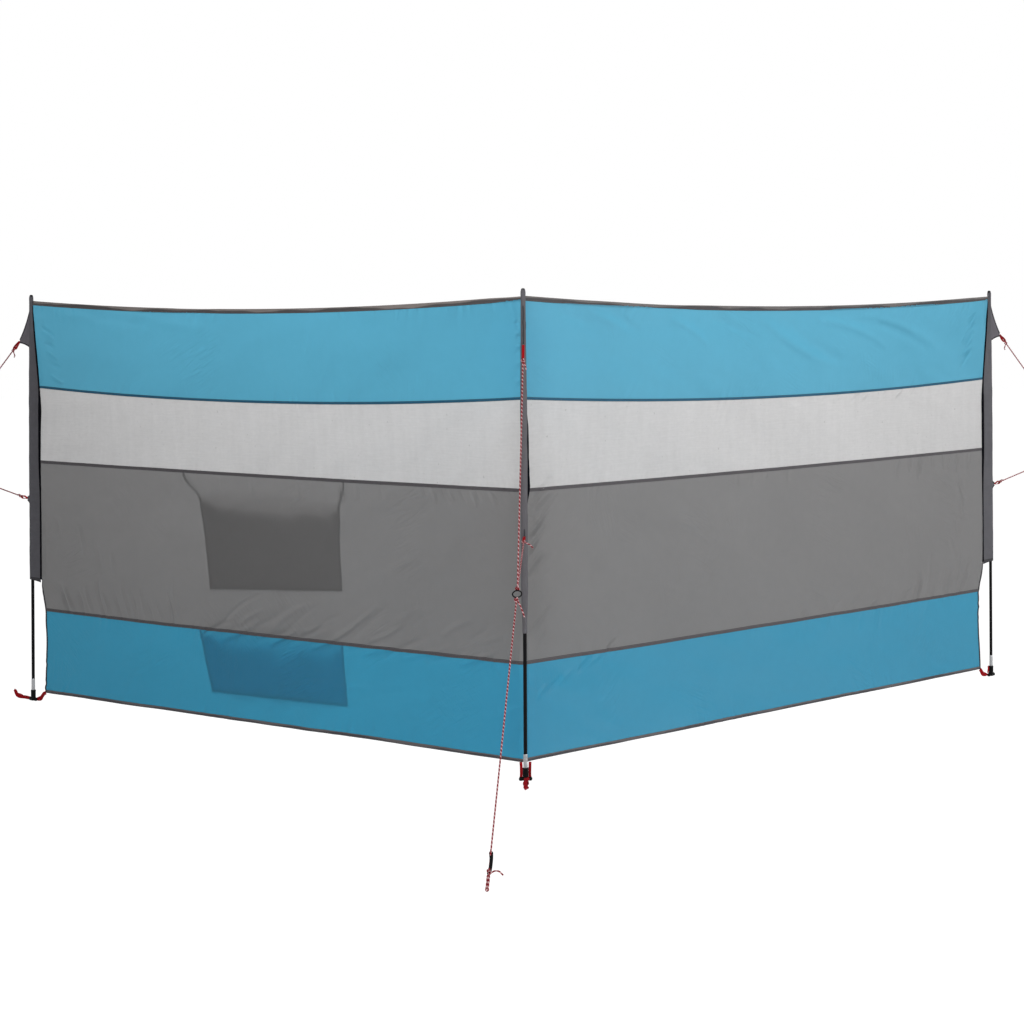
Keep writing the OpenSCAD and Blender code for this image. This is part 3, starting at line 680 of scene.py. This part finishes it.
def edge_tape(side):
    """Binding up the free end edge of the cloth, from the hem to the sleeve."""
    z = np.linspace(HEM[1], SLEEVE_END + 0.004, 70)
    a, d = tape_rows(EDGE_BINDING_W, BINDING_T)
    width = np.clip((SLEEVE_END + 0.012 - z) / 0.06, 0.25, 1)
    base = bay_point(side, np.ones_like(z), z)
    reach = (a + EDGE_BINDING_W / 2 - 0.001) * width[None]
    x = base[None, :, 0] + (-1 if side == "left" else 1) * (COS_A * reach - SIN_A * d)
    y = base[None, :, 1] + SIN_A * reach + COS_A * d
    points = np.stack([x, y, z[None] * np.ones_like(x)], -1)
    return grid(f"{side}_edge_binding", points, laid_out(z, np.append(a, a[0])), "edge", wrap=True, caps=True,
                flip=side == "left")


def painted_seam_shade(side, t_end, name, narrow, wide, lap, low):
    """A near-black strip of painted shade along the seam where the cloth meets a sleeve. It stands for the
    shadow in the gap between sleeve and cloth, and is widest across the window band.
    lap is how far it lies over the sleeve's tail, and low how far under the second seam it closes."""
    z = np.linspace(SLEEVE_END, CLOTH_TOP - 0.02, 200)
    opened = ease((SEAM_1[t_end] - z) / 0.1) * ease((z - SEAM_2[t_end] + low) / (low + 0.02))
    fade = ease((CLOTH_TOP - z) / 0.1)
    reach = mix(narrow, wide, opened) * fade
    k = np.linspace(0, 1, 5)[:, None]
    gap = mix(-lap * opened * fade, reach, k) / BAY_LEN
    t = gap if t_end == 0 else 1 - gap
    zz = z[None] * np.ones_like(k)
    points = bay_point(side, t, zz, -0.001 - 0.0022 * (1 - k) - 0.0012 * np.sin(math.pi * k))
    return grid(name, points, np.stack([zz, k * reach[None]], -1), "painted_shade",
                flip=(side == "left") != (t_end == 0))


for side in SIDES:
    panels = [band(side, "top", SEAM_1, shift(TOP_EDGE, -0.004)), band(side, "window", SEAM_2, SEAM_1),
              band(side, "middle", SEAM_3, SEAM_2), band(side, "bottom", shift(HEM, 0.003), SEAM_3)]
    binding = tape(side, "top_binding_fold", shift(TOP_EDGE, -TOP_BINDING_H / 2), TOP_BINDING_H, BINDING_T,
                   f"{side}_binding", (f"{side}_top_binding",), 0.45)
    tape_1 = tape(side, "first_seam_tape", SEAM_1, SEAM_TAPE_H, SEAM_TAPE_T, "blue_tape")
    tape_2 = tape(side, "second_seam_tape", SEAM_2, SEAM_TAPE_H + 0.002, SEAM_TAPE_T, "grey_tape",
                  (f"{side}_seam_tapes",))
    tape_3 = tape(side, "third_seam_tape", SEAM_3, SEAM_TAPE_H + 0.002, SEAM_TAPE_T, "grey_tape")
    hem = tape(side, "hem_fold", shift(HEM, HEM_H / 2), HEM_H, BINDING_T, "hem", (f"{side}_hem",), 0.15)
    edge = edge_tape(side)
    # a strip of painted shade for the shadow beside each end sleeve
    painted_shade = painted_seam_shade(side, 1, f"{side}_seam_painted_shade", 0.0055, 0.008 if side == "left" else 0.006, 0.006,
                     0.16)
# a strip of painted shade for the shadow beside the middle sleeve, on the right bay
middle_painted_shade = painted_seam_shade("right", 0, "middle_seam_painted_shade", 0.015, 0.0275, 0.0, 0.05)


# ---- sleeves, gussets and tabs
def sleeve(pole):
    """Tube of cloth round the pole, drawn in to a flat tail that the bay cloth is sewn to."""
    step = 0.0068
    tube = np.linspace(SLEEVE_END, CLOTH_TOP, int((CLOTH_TOP - SLEEVE_END) / step))
    z = np.concatenate([tube, CAP_HEIGHTS])
    cap = z > CLOTH_TOP
    seed = {"left": 71, "middle": 72, "right": 73}[pole]
    r, w = sleeve_r(z), sleeve_width(z)
    closing = np.where(cap, np.sqrt(np.clip(1 - ((z - CLOTH_TOP) / 0.0232) ** 4, 0.01, 1)), 1.0)
    rows = []
    wrap_n, tail_n = 18, 8
    for i in range(wrap_n + 1):
        a = math.radians(-112 + 224 * i / wrap_n)
        rr = (r + np.where(cap, 0.0004, 0)) * closing
        loose = 1 + 0.07 * noise(z / 0.035, a * 1.4 + 9, seed) * ease((CLOTH_TOP - z) / 0.3)
        loose = loose * (1 - (0.3 if pole == "middle" else 0.0) * ease((SLEEVE_END + 0.15 - z) / 0.14))
        rows.append(np.stack([rr * math.cos(a) * loose, rr * math.sin(a) * loose], -1))
    for sgn in (1, -1):
        ks = np.linspace(0, 1, tail_n + 1)[1:]
        for k in (ks if sgn > 0 else ks[::-1]):
            sx, sy = rows[wrap_n if sgn > 0 else 0].T
            x = mix(sx, -np.where(cap, r * closing * 1.02, w), k)
            y = mix(sy, sgn * mix(BINDING_T / 2, 0.0004, k), 1 - (1 - k) ** 1.7)
            crimp = 0.0016 * noise(z / 0.017, k * 1.5 + 3, seed + 5)
            crimp = crimp + 0.0024 * noise(z / 0.07, k + 3, seed + 6)
            y = y + crimp * math.sin(math.pi * min(k * 0.9, 1)) * ease((CLOTH_TOP - z) / 0.35)
            rows.append(np.stack([x, y], -1))
    start = wrap_n + 1 + tail_n
    outline = np.array(rows[start:] + rows[:start])
    drop = np.where(z < SLEEVE_END + 0.02, 1 - (z - SLEEVE_END) / 0.02, 0)
    zz = z[None] + drop[None] * np.clip(-outline[..., 0] / 0.047, 0,
                                        1) * -0.01 * (0 if pole == "middle" else 1)
    points = at_pole(pole, np.concatenate([outline, zz[..., None]], -1))
    places = laid_out(z - SLEEVE_END, np.linspace(0, 0.12, len(rows)))
    return grid(f"{pole}_sleeve_cloth", points, places, "middle_sleeve" if pole == "middle" else "sleeve",
                (f"{pole}_sleeve",), flip=pole != "left")


def quadratic(a, b, c, k):
    return mix(mix(a, b, k), mix(b, c, k), k)


def cloth_corner(pole, name, top_z, tip, low_z, hollow, nodes=()):
    """Three-cornered plate of cloth from the sleeve out to a tip, with hollow bound edges."""
    cut = 0.005
    u = np.linspace(0, 1, 26)[:, None]
    top, low = (np.array([sleeve_r(z) - 0.0006, z]) for z in (top_z, low_z))
    tip = tip[[0, 2]]
    upper = quadratic(top, mix(top, tip, 0.5) - [hollow, hollow / 2], tip + [0, cut], u)
    lower = quadratic(low, mix(low, tip, 0.5) + [0, hollow / 2], tip - [0, cut], u)
    v = np.linspace(0, 1, 18)[:, None, None]
    flat = mix(lower[None], upper[None], v)
    seed = {"left": 81, "middle": 82, "right": 83}[pole]
    across, up = u[None, :, 0], v[..., 0]
    puff = 0.004 * np.sin(math.pi * across) * np.sin(math.pi * up) * noise(0.3, 0.7, seed)
    puff = puff + 0.0012 * noise(across * 4, up * 3 + across * 3, seed + 1) * np.sin(math.pi * up)
    local = np.stack([flat[..., 0], puff, flat[..., 1]], -1)
    run = np.stack([flat[..., 0] + 1, flat[..., 1]], -1)
    parts = [grid(f"{pole}_{name}_cloth", at_pole(pole, local), run, "gusset", nodes, flip=pole == "left")]
    for label, edge in (("upper", upper), ("lower", lower)):
        path = at_pole(pole, np.stack([edge[:, 0], 0 * edge[:, 0], edge[:, 1]], -1))
        parts.append(sweep(f"{pole}_{name}_{label}_edge", path, flat_outline(0.0026, 0.0048), "edge", (),
                           sideways(pole)))
    return parts


GUSSET_TIP = np.array([0.068, 0.0, POLE_H - 0.175])
TAB_TIP = np.array([0.027, 0.0, 0.755])
END_GUY = (np.array([0.64, 0.0, 0.857]), np.array([1.75, 0.0, 0.002]))
# each guy's ring, and where it meets the ground, as (out, sideways, up) from its pole
GUYS = {"middle": (np.array([0.43, -0.022, 0.637]), np.array([1.17, -0.099, 0.002])), "left": END_GUY,
        "right": END_GUY}
for pole in POLES:
    tube = sleeve(pole)
    gusset = cloth_corner(pole, "gusset", POLE_H - 0.055, GUSSET_TIP, POLE_H - 0.197, 0.008,
                          (f"{pole}_gusset",))
    tab = cloth_corner(pole, "tab", 0.776, TAB_TIP, 0.734, 0.003)


# ---- pockets on the back of the left bay
POCKET_DROP, POCKET_GAPE = 0.09, 0.03


def pocket(name, top, near, far, depth, slant, look, rim_look):
    """Pouch sheet: open along its top, which stands off the cloth, and sewn at its sides and along the bottom.
    near and far hold each side's distance from the middle pole at the top and at the bottom."""
    cols, rows = 110, int(depth / 0.0065)

    def spot(c, r, lift=0.0, out=0.0):
        t = mix(mix(near[1], near[0], r), mix(far[1], far[0], r), c) / BAY_LEN
        z = line_height(top, t) - (depth + slant * (c - 0.5)) * (1 - r) + lift
        full = np.sin(math.pi * c) ** 0.35 * (0.45 * ease(r / 0.09) + 0.55 * r)
        off = 0.0017 + POCKET_GAPE * full + 0.0065 * noise(c * 8 + r * 2, r * 4,
                                                           91) * np.sqrt(np.clip(full, 0, 1))
        off = off + 0.003 * noise(c * 24 + r * 5, r * 5, 92) * np.clip(full * 3, 0, 1)
        return t, z, off + out

    t, z, off = spot(np.linspace(0, 1, cols)[None, :], np.linspace(0, 1, rows)[:, None])
    places = np.stack([t * BAY_LEN + 6, z], -1)
    sheet = grid(f"{name}_cloth", bay_point("left", t, z, off), places, look, (name,), flip=True)
    k = np.linspace(0, 1, cols)
    rim = bay_point("left", *spot(k, np.ones_like(k), -0.006, 0.0004))
    extra = [sweep(f"{name}_rim_binding", rim, flat_outline(0.014, 0.0022), rim_look, slot=SLOTS[look])]
    for label, path, hint in (("bottom", spot(k, np.zeros_like(k), 0.004), (0, 0, 1)),
                              ("near_edge", spot(0 * k, k), (-COS_A, SIN_A, 0)),
                              ("far_edge", spot(0 * k + 1, k), (-COS_A, SIN_A, 0))):
        extra.append(sweep(f"{name}_{label}_fold", bay_point("left", *path), flat_outline(0.009, 0.0016),
                           look, (), hint))


pocket("upper_pocket", shift(SEAM_2, -POCKET_DROP), (0.848, 0.827), (1.532, 1.476), 0.298, 0.04, "middle",
       "grey_tape")
pocket("lower_pocket", shift(SEAM_3, -0.0065), (0.822, 0.795), (1.532, 1.459), 0.205, 0.012, "bottom",
       "blue_tape")


def pocket_strap(name, low_s, high_s, nodes=()):
    """Strap from a corner of the upper pocket to the second seam."""
    k = np.linspace(0, 1, 26)
    t = mix(low_s, high_s, ease(k)) / BAY_LEN
    seam = line_height(SEAM_2, t)
    z = mix(seam - POCKET_DROP - 0.004, seam - 0.004, k)
    path = bay_point("left", t, z, 0.0022 + 0.004 * np.sin(math.pi * k) ** 0.8)
    sweep(name, path, flat_outline(0.01, 0.0014), "edge", nodes, (-COS_A, SIN_A, 0), 0.25 * np.sin(k * 5))


pocket_strap("pocket_far_strap", 1.532, 1.615, ("pocket_straps",))
pocket_strap("pocket_near_strap", 0.848, 0.818)
q = np.linspace(0, TURN, 40)
frame_s = 0.826 + 0.01 * squared(np.cos(q), 0.35)
frame_z = line_height(SEAM_2, 0.35) - 0.044 + 0.0145 * squared(np.sin(q), 0.35)
sweep("pocket_strap_frame", bay_point("left", frame_s / BAY_LEN, frame_z, 0.0075), round_outline(0.0016, 8),
      "plastic",
      (), (SIN_A, COS_A, 0), caps=False)


# ---- webbing, ropes, rings and runners
def knot(name, centre, direction, across, size):
    """A small tied knot: cord wound in a clover through itself."""
    q = np.linspace(0, TURN, 72)
    d = unit(direction)
    a = unit(np.asarray(across) - d * (d @ across))
    b = np.cross(d, a)
    x, y, z = (np.sin(q) + 2 * np.sin(2 * q)) / 3, (np.cos(q) - 2 * np.cos(2 * q)) / 3, -np.sin(3 * q) * 0.55
    path = np.asarray(centre) + size * (x[:, None] * a + y[:, None] * d + z[:, None] * b)
    return sweep(name, path, rope_outline(size * 0.36, 10), "cord", (), b)


def toward(a, b, distance):
    return a + unit(b - a) * distance


def eye_loop(name, start, end, side, width, nodes):
    """Webbing folded back on itself into an eye."""
    length = np.linalg.norm(end - start)
    d, n = unit(end - start), unit(np.cross(side, unit(end - start)))
    q = np.linspace(0.02, TURN - 0.02, 54)
    x = length * (1 - np.cos(q)) / 2
    y = EYE_BULGE * np.sin(q) * np.sin(q / 2) ** 2 + 0.0008 * np.sign(math.pi - q) * np.abs(np.cos(q / 2))
    path = start + x[:, None] * d + (y + 0.0006 * np.sin(x / 0.009))[:, None] * n
    sweep(name, path, flat_outline(width, 0.0015), "webbing", nodes, side, 0.1 * np.sin(q * 3))


def guy(pole):
    ring, ground = GUYS[pole]
    run = unit(ground - ring)
    rim_top, rim_low = ring - run * RIM_REACH, ring + run * RIM_REACH
    low = toward(ground, ring, 0.046)
    top = toward(low, ring, 0.07)
    side = sideways(pole)

    def place(points):
        return at_pole(pole, points)

    def cord(label, points, nodes=(), step=CORD_STEP, **outline):
        return sweep(f"{pole}_{label}", smooth_path(place(points), step), rope_outline(**outline), "cord",
                     nodes, side)

    ends = []
    for label, tip, length, nodes in (("gusset", GUSSET_TIP, 0.045, (f"{pole}_webbing_loops",)),
                                      ("tab", TAB_TIP, 0.034, ())):
        start = tip + [0.0006, 0, 0]
        ends.append(toward(start, rim_top, length))
        wide = 0.008 if pole == "middle" else 0.01
        eye_loop(f"{pole}_{label}_webbing_loop", place(start), place(ends[-1]), side, wide, nodes)
    gusset_end, tab_end = ends
    # main rope, from the gusset's eye to the ring, and the branch from the tab's eye
    a = toward(gusset_end, GUSSET_TIP, 0.006)
    cord("upper_guy_cord", [a, mix(a, rim_top, 0.5) - [0, 0, 0.0008], rim_top], (f"{pole}_guy_rope",))
    b = toward(tab_end, TAB_TIP, 0.006)
    joint = toward(rim_top, GUSSET_TIP, 0.006)
    cord("branch_guy_cord", [b, mix(b, joint, 0.5) - [0, 0, 0.0015], joint], (f"{pole}_guy_branch",))
    tied = []
    for label, at, d, size in (
            ("gusset", toward(gusset_end, rim_top, 0.006), rim_top - gusset_end, 0.0052),
            ("tab", toward(tab_end, rim_top, 0.006), rim_top - tab_end, 0.0052),
            ("ring", toward(rim_top, GUSSET_TIP, 0.005), rim_top - GUSSET_TIP, 0.0056),
            ("lower_ring", toward(rim_low, ground, 0.006), run, 0.0056)):
        tied.append(knot(f"{pole}_{label}_knot", place(at), place(at + unit(d)) - place(at), side, size))
    # loose ends at the knots
    tab_steps = [(0.008, 0.003, 0.004), (0.018, 0.005, 0.005), (0.03, 0.006, 0.002)]
    if pole == "middle":
        tab_steps = [(0.006, 0.01, -0.004), (0.012, 0.02, -0.009), (0.014, 0.028, -0.018)]
    for label, at, steps in (
            ("gusset_tail", toward(gusset_end, rim_top, 0.007),
             [(0.003, 0.004, -0.009), (0.002, 0.008, -0.02), (0.007, 0.009, -0.027)]),
            ("tab_tail", toward(tab_end, rim_top, 0.006), tab_steps),
            ("ring_tail", toward(rim_low, ground, 0.006),
             [(0.004, 0.009, -0.014), (0.006, 0.016, -0.031), (0.003, 0.022, -0.05)]),
            ("runner_tail", low, [(0.002, 0.012, 0.009), (0.004, 0.025, 0.01), (0.01, 0.037, 0.001)])):
        tied.append(cord(label, [at] + [at + np.array(s) for s in steps], radius=0.0021))
    # lower rope: through the runner, round the peg's place and back to the runner's other hole
    n = unit(np.cross((0, 1, 0), run))
    n = n if n[2] > 0 else -n
    u_top, u_low = toward(top, low, 0.006), toward(low, top, 0.006)
    twist = np.array([0, 1, 0]) - run * run[1]
    turn = []
    for a in math.pi * np.linspace(0, 1, 9):
        turn.append(ground - run * (0.0035 * (1 - math.sin(a))) - twist * (0.0032 * math.cos(a)) + [0, 0,
                                                                                                    0.0002])

    def strand(sgn, first, last):
        far = ground - run * 0.004
        return [mix(low, far, k) + (twist * sgn * 0.0023 + n * sgn * 0.001 * math.sin(math.pi * k))
                for k in np.linspace(first, last, 6)]

    lower = [rim_low, mix(rim_low, top, 0.5) - [0, 0, 0.0012], toward(top, ring, 0.02),
             toward(top, ring, 0.004) + n * 0.003, u_top + n * 0.0015, u_top + run * 0.006 - n * 0.0048,
             mix(u_top, u_low, 0.5) - n * 0.0058, u_low - n * 0.0048, *strand(-1, 0.05, 0.92), *turn,
             *strand(1, 0.92, 0.1), u_low + n * 0.001, u_low - run * 0.003 + n * 0.005]
    cord("lower_guy_cord", lower, step=0.0024)
    tied.append(knot(f"{pole}_runner_knot", place(u_low - run * 0.003 + n * 0.0065),
                     place(run) - place((0, 0, 0)), side, 0.0044))
    # runner: a slim moulded bar, slightly curved, with a rope hole near each end
    bar = [mix(low, top, k) + twist * 0.0035 * math.sin(math.pi * k) for k in np.linspace(0, 1, 30)]

    def outline(r):
        a = around(20)
        span = r[-1]
        half = 0.0055 - 0.0012 * np.sin(math.pi * r / span) ** 2
        close = np.sqrt(np.clip(1 - (1 - np.minimum(r, span - r) / RUNNER_END_R).clip(0, 1) ** 2, 0.02, 1))
        x = squared(np.cos(a), 0.8) * half * close
        return np.stack([x, squared(np.sin(a), 0.5) * 0.0027 * (0.35 + 0.65 * close)], -1)

    runner = sweep(f"{pole}_runner_bar", smooth_path(place(bar), 0.0012), outline, "plastic",
                   (f"{pole}_guy_runner",), side)
    for centre in (u_top, u_low):
        c = place(centre)
        axis = place(centre + n) - c
        hole = sweep("hole", np.array([c - axis * 0.02, c, c + axis * 0.02]), round_outline(0.0026, 24),
                     "plastic", (), side)
        cutter = runner.modifiers.new("hole", "BOOLEAN")
        cutter.operation, cutter.object, cutter.solver = "DIFFERENCE", hole, "EXACT"
        with bpy.context.temp_override(object=runner, active_object=runner):
            bpy.ops.object.modifier_apply(modifier=cutter.name)
        bpy.data.objects.remove(hole)
    joined(f"{pole}_guy_knots", tied)


# ---- feet and straps
def foot(pole):
    base = at_pole(pole, (0, 0, 0))
    cup = [(0.007, 0.0005), (0.0086, 0.0012), (0.0091, 0.004), (0.0091, 0.0115), (0.0087, 0.013),
           (0.0087, 0.0325), (0.009, 0.0338), (0.0092, 0.035), (0.0092, 0.0382), (0.0088, 0.0396),
           (0.008, 0.04), (0.0075, 0.04), (0.0071, 0.0394), (0.007, 0.034)]
    parts = [lathe(f"{pole}_foot_cup", cup, base, "plastic", (f"{pole}_foot",), 48)]
    x = np.linspace(-0.0209, 0.0209, 56)
    end = np.clip((np.abs(x) - 0.014) / 0.007, 0, 1)
    r = (0.0054 + 0.0015 * ease((np.abs(x) - 0.009) / 0.005)) * np.sqrt(np.clip(1 - end**2.2, 0.015, 1))
    a = around(28)
    across, up = np.cos(a) * r[None], np.maximum(0.0055 + np.sin(a) * r[None], 0.0)
    along = x[None] * np.ones_like(a)
    local = np.stack([across, along, up] if pole == "middle" else [along, across, up], -1)
    places = laid_out(x, np.linspace(0, 1, 29))
    parts.append(grid(f"{pole}_foot_bar", at_pole(pole, local), places, "plastic", wrap=True, caps=True,
                      flip=pole == "right"))
    for k in range(4):
        a0 = math.pi / 4 + k * math.pi / 2
        rib = np.array([(math.cos(a0) * 0.0088, math.sin(a0) * 0.0088, z)
                        for z in np.linspace(0.01, 0.034, 8)])
        parts.append(sweep("rib", base + rib, round_outline(0.001, 8, 0.003), "plastic"))
    joined(f"{pole}_moulded_foot", parts)
    ferrule = [(0.006, 0.01), (0.0067, 0.0106), (0.0067, 0.056), (0.00645, 0.0575), (0.0063, 0.059),
               (0.00645, 0.0605), (0.00665, 0.062), (0.00665, 0.0665), (0.00645, 0.068), (0.00645, 0.07),
               (0.0066, 0.0712), (0.00655, 0.079), (0.0063, 0.0812), (0.006, 0.0818), (0.00582, 0.0816)]
    lathe(f"{pole}_crimped_ferrule", ferrule, base, "metal", (f"{pole}_pole_ferrule",), 40)


def strap(name, pole, route, width, crumple, seed, nodes=(), doubled=True, lean=0.0):
    """Webbing along a route, single or folded double, and rumpled as it lies. lean turns its face forward."""
    path = smooth_path(route, WEB_STEP)
    run = distances(path)
    if doubled:
        h = headings(path)
        up = np.cross((0.0, 1.0, 0.0), h)
        up = up / np.linalg.norm(up, axis=1)[:, None]
        gape = 0.001 + 0.0045 * np.sin(math.pi * np.clip(run / run[-1], 0, 1)) ** 1.5 * crumple
        there, back = path - up * gape[:, None], (path + up * gape[:, None])[::-1]
        tip = path[-1] + h[-1] * 0.003
        path = smooth_path(np.vstack([there, tip[None], back])[::2], WEB_STEP)
        run = distances(path)
    sway, lift = 0.0016 * crumple * noise(run / 0.022, 0.5, seed), 0.0012 * crumple * noise(run / 0.016, 1.5,
                                                                                            seed)
    path = path + np.stack([0 * run, sway, lift], 1)
    roll = lean + crumple * 0.5 * noise(run / 0.026, 2.5, seed)
    # the lower edge of a rolled strap stays off the ground
    path[:, 2] = np.maximum(path[:, 2], 0.0011 + width / 2 * np.abs(np.sin(roll)))
    ob = sweep(name, at_pole(pole, path), flat_outline(width, 0.0013), "webbing", nodes, sideways(pole), roll)
    # the folded end can turn an edge down, so the strap is lifted until it lies on the ground
    rise = max(0.0, 0.0004 - min(vertex.co.z for vertex in ob.data.vertices))
    for vertex in ob.data.vertices:
        vertex.co.z += rise
    return ob


def foot_straps(pole):
    parts = []
    if pole == "middle":
        for sgn, label in ((-1, "left"), (1, "right")):
            off = sgn * 0.014
            edge = -0.047 - abs(off) * math.tan(ANGLE)
            route = [(edge - 0.003, off, 0.0435), (edge + 0.008, off * 0.98, 0.0385),
                     (-0.02, off * 0.95, 0.019),
                     (-0.009, off * 0.98, 0.009), (-0.003, off, 0.0125), (0.002, off, 0.0128)]
            parts.append(strap(f"middle_hem_strap_{label}", pole, route, 0.009, 0.25, 30 + sgn,
                               ("middle_foot_strap",), False))
        front = [(0.0085, 0, 0.006), (0.028, 0.002, 0.006), (0.064, 0.004, 0.0085), (0.1, -0.001, 0.006),
                 (0.146, 0.003, 0.0075)]
        parts.append(strap("middle_front_strap", pole, front, 0.0135, 1.5, 35))
    else:
        corner = -0.067 - EDGE_BINDING_W
        under = [(corner, 0, 0.0342), (corner + 0.01, 0.001, 0.0315),
                 (mix(corner, -0.021, 0.5), 0.003, 0.015), (-0.0225, 0.005, 0.0075)]
        parts.append(strap(f"{pole}_corner_strap", pole, under, 0.013, 0.55, 41, (f"{pole}_foot_strap",),
                           lean=1.1))
        wide, crumple = 0.0125, 0.7
        outer = [(0.0225, 0.005, 0.006), (0.039, 0.003, 0.0042), (0.066, 0.001, 0.0078),
                 (0.091, -0.001, 0.0135), (0.1065, 0, 0.027)]
        if pole == "right":
            wide, crumple = 0.006, 0.15
            outer = [(-0.0135, 0.004, 0.0125), (-0.0128, 0.004, 0.02), (-0.0122, 0.003, 0.03),
                     (-0.0132, 0.003, 0.038)]
        parts.append(strap(f"{pole}_outer_strap", pole, outer, wide, crumple, 42, lean=1.0))
    joined(f"{pole}_foot_straps", parts)


for pole in POLES:
    guy(pole)
    foot(pole)
    foot_straps(pole)
    for node, look in ((f"{pole}_pole", "pole"), (f"{pole}_guy_ring", "plastic")):
        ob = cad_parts[node]
        ob.data.materials.clear()
        ob.data.materials.append(LOOKS[look])
        ob.data.polygons.foreach_set("use_smooth", [len(p.vertices) < 8 for p in ob.data.polygons])


# ---- floor, world, lights and camera
def light_path_mix(look, plain, seen):
    """plain for the light that falls on the object, and seen for what the camera, metal and glass see."""
    ray = look.node("LightPath").outputs
    total = look.add(look.add(ray["Is Camera Ray"], ray["Is Glossy Ray"]), ray["Is Transmission Ray"])
    share = look.sub(total, ray["Is Diffuse Ray"], clamp=True)
    return look.node("MixShader", {0: share, 1: plain, 2: seen}).outputs[0]


scene = bpy.context.scene
sky = Look("studio", world=True)
scene.world = sky.owner
dim, bright = (sky.node("Background", {0: (1, 1, 1, 1), 1: strength}).outputs[0] for strength in (0.12, 1.0))
sky.feed(sky.output.inputs[0], light_path_mix(sky, dim, bright))

floor_look = Look("studio_floor")
diffuse = floor_look.node("BsdfDiffuse", {"Color": (0.92, 0.92, 0.92, 1)}).outputs[0]
white = floor_look.node("Emission", {"Color": (1, 1, 1, 1), "Strength": 1.16}).outputs[0]
part = floor_look.node("MixShader", {0: 0.86, 1: diffuse, 2: white}).outputs[0]
floor_look.feed(floor_look.output.inputs["Surface"], light_path_mix(floor_look, diffuse, part))
me = bpy.data.meshes.new("floor")
ring = [(30 * math.cos(k / 64 * TURN), 30 * math.sin(k / 64 * TURN), -0.0005) for k in range(64)]
me.from_pydata(ring, [], [list(range(64))])
me.materials.append(floor_look.owner)
floor = bpy.data.objects.new("floor", me)
scene.collection.objects.link(floor)


def area_light(name, place, target, size, power):
    data = bpy.data.lights.new(name, "AREA")
    data.shape, data.size, data.energy = "DISK", size, power
    lamp = bpy.data.objects.new(name, data)
    scene.collection.objects.link(lamp)
    lamp.location = place
    aim = np.asarray(target, float) - np.asarray(place, float)
    lamp.rotation_euler = Vector(aim).to_track_quat("-Z", "Y").to_euler()


area_light("key", (6.8, -1.6, 1.2), (0.9, 0.7, 0.8), 2.0, 209)
area_light("near_key", (1.8, -3.4, 2.4), (0.3, 0.3, 0.8), 1.6, 56)
area_light("near_fill", (-1.8, -3.4, 2.4), (-0.3, 0.3, 0.8), 1.6, 102)
area_light("back", (0, 2.6, 3.6), (0, 0.3, 0.6), 1.8, 91)
area_light("back_right", (5.0, 5.0, 4.0), (0, 0.6, 0.8), 3.0, 62)

camera_data = bpy.data.cameras.new("camera")
camera = bpy.data.objects.new("camera", camera_data)
scene.collection.objects.link(camera)
scene.camera = camera
camera.location = (-0.0075, -6.1735, 1.4494)
turn = Euler((math.pi / 2, 0, math.radians(-6.201))).to_matrix() @ Matrix.Rotation(math.radians(-0.3057), 3,
                                                                                   "Z")
camera.rotation_euler = turn.to_euler()
camera_data.lens, camera_data.sensor_width = 69.926, 36
camera_data.shift_x, camera_data.shift_y = -0.2195, -0.1975
camera_data.clip_end = 200
scene.view_settings.view_transform = "Standard"
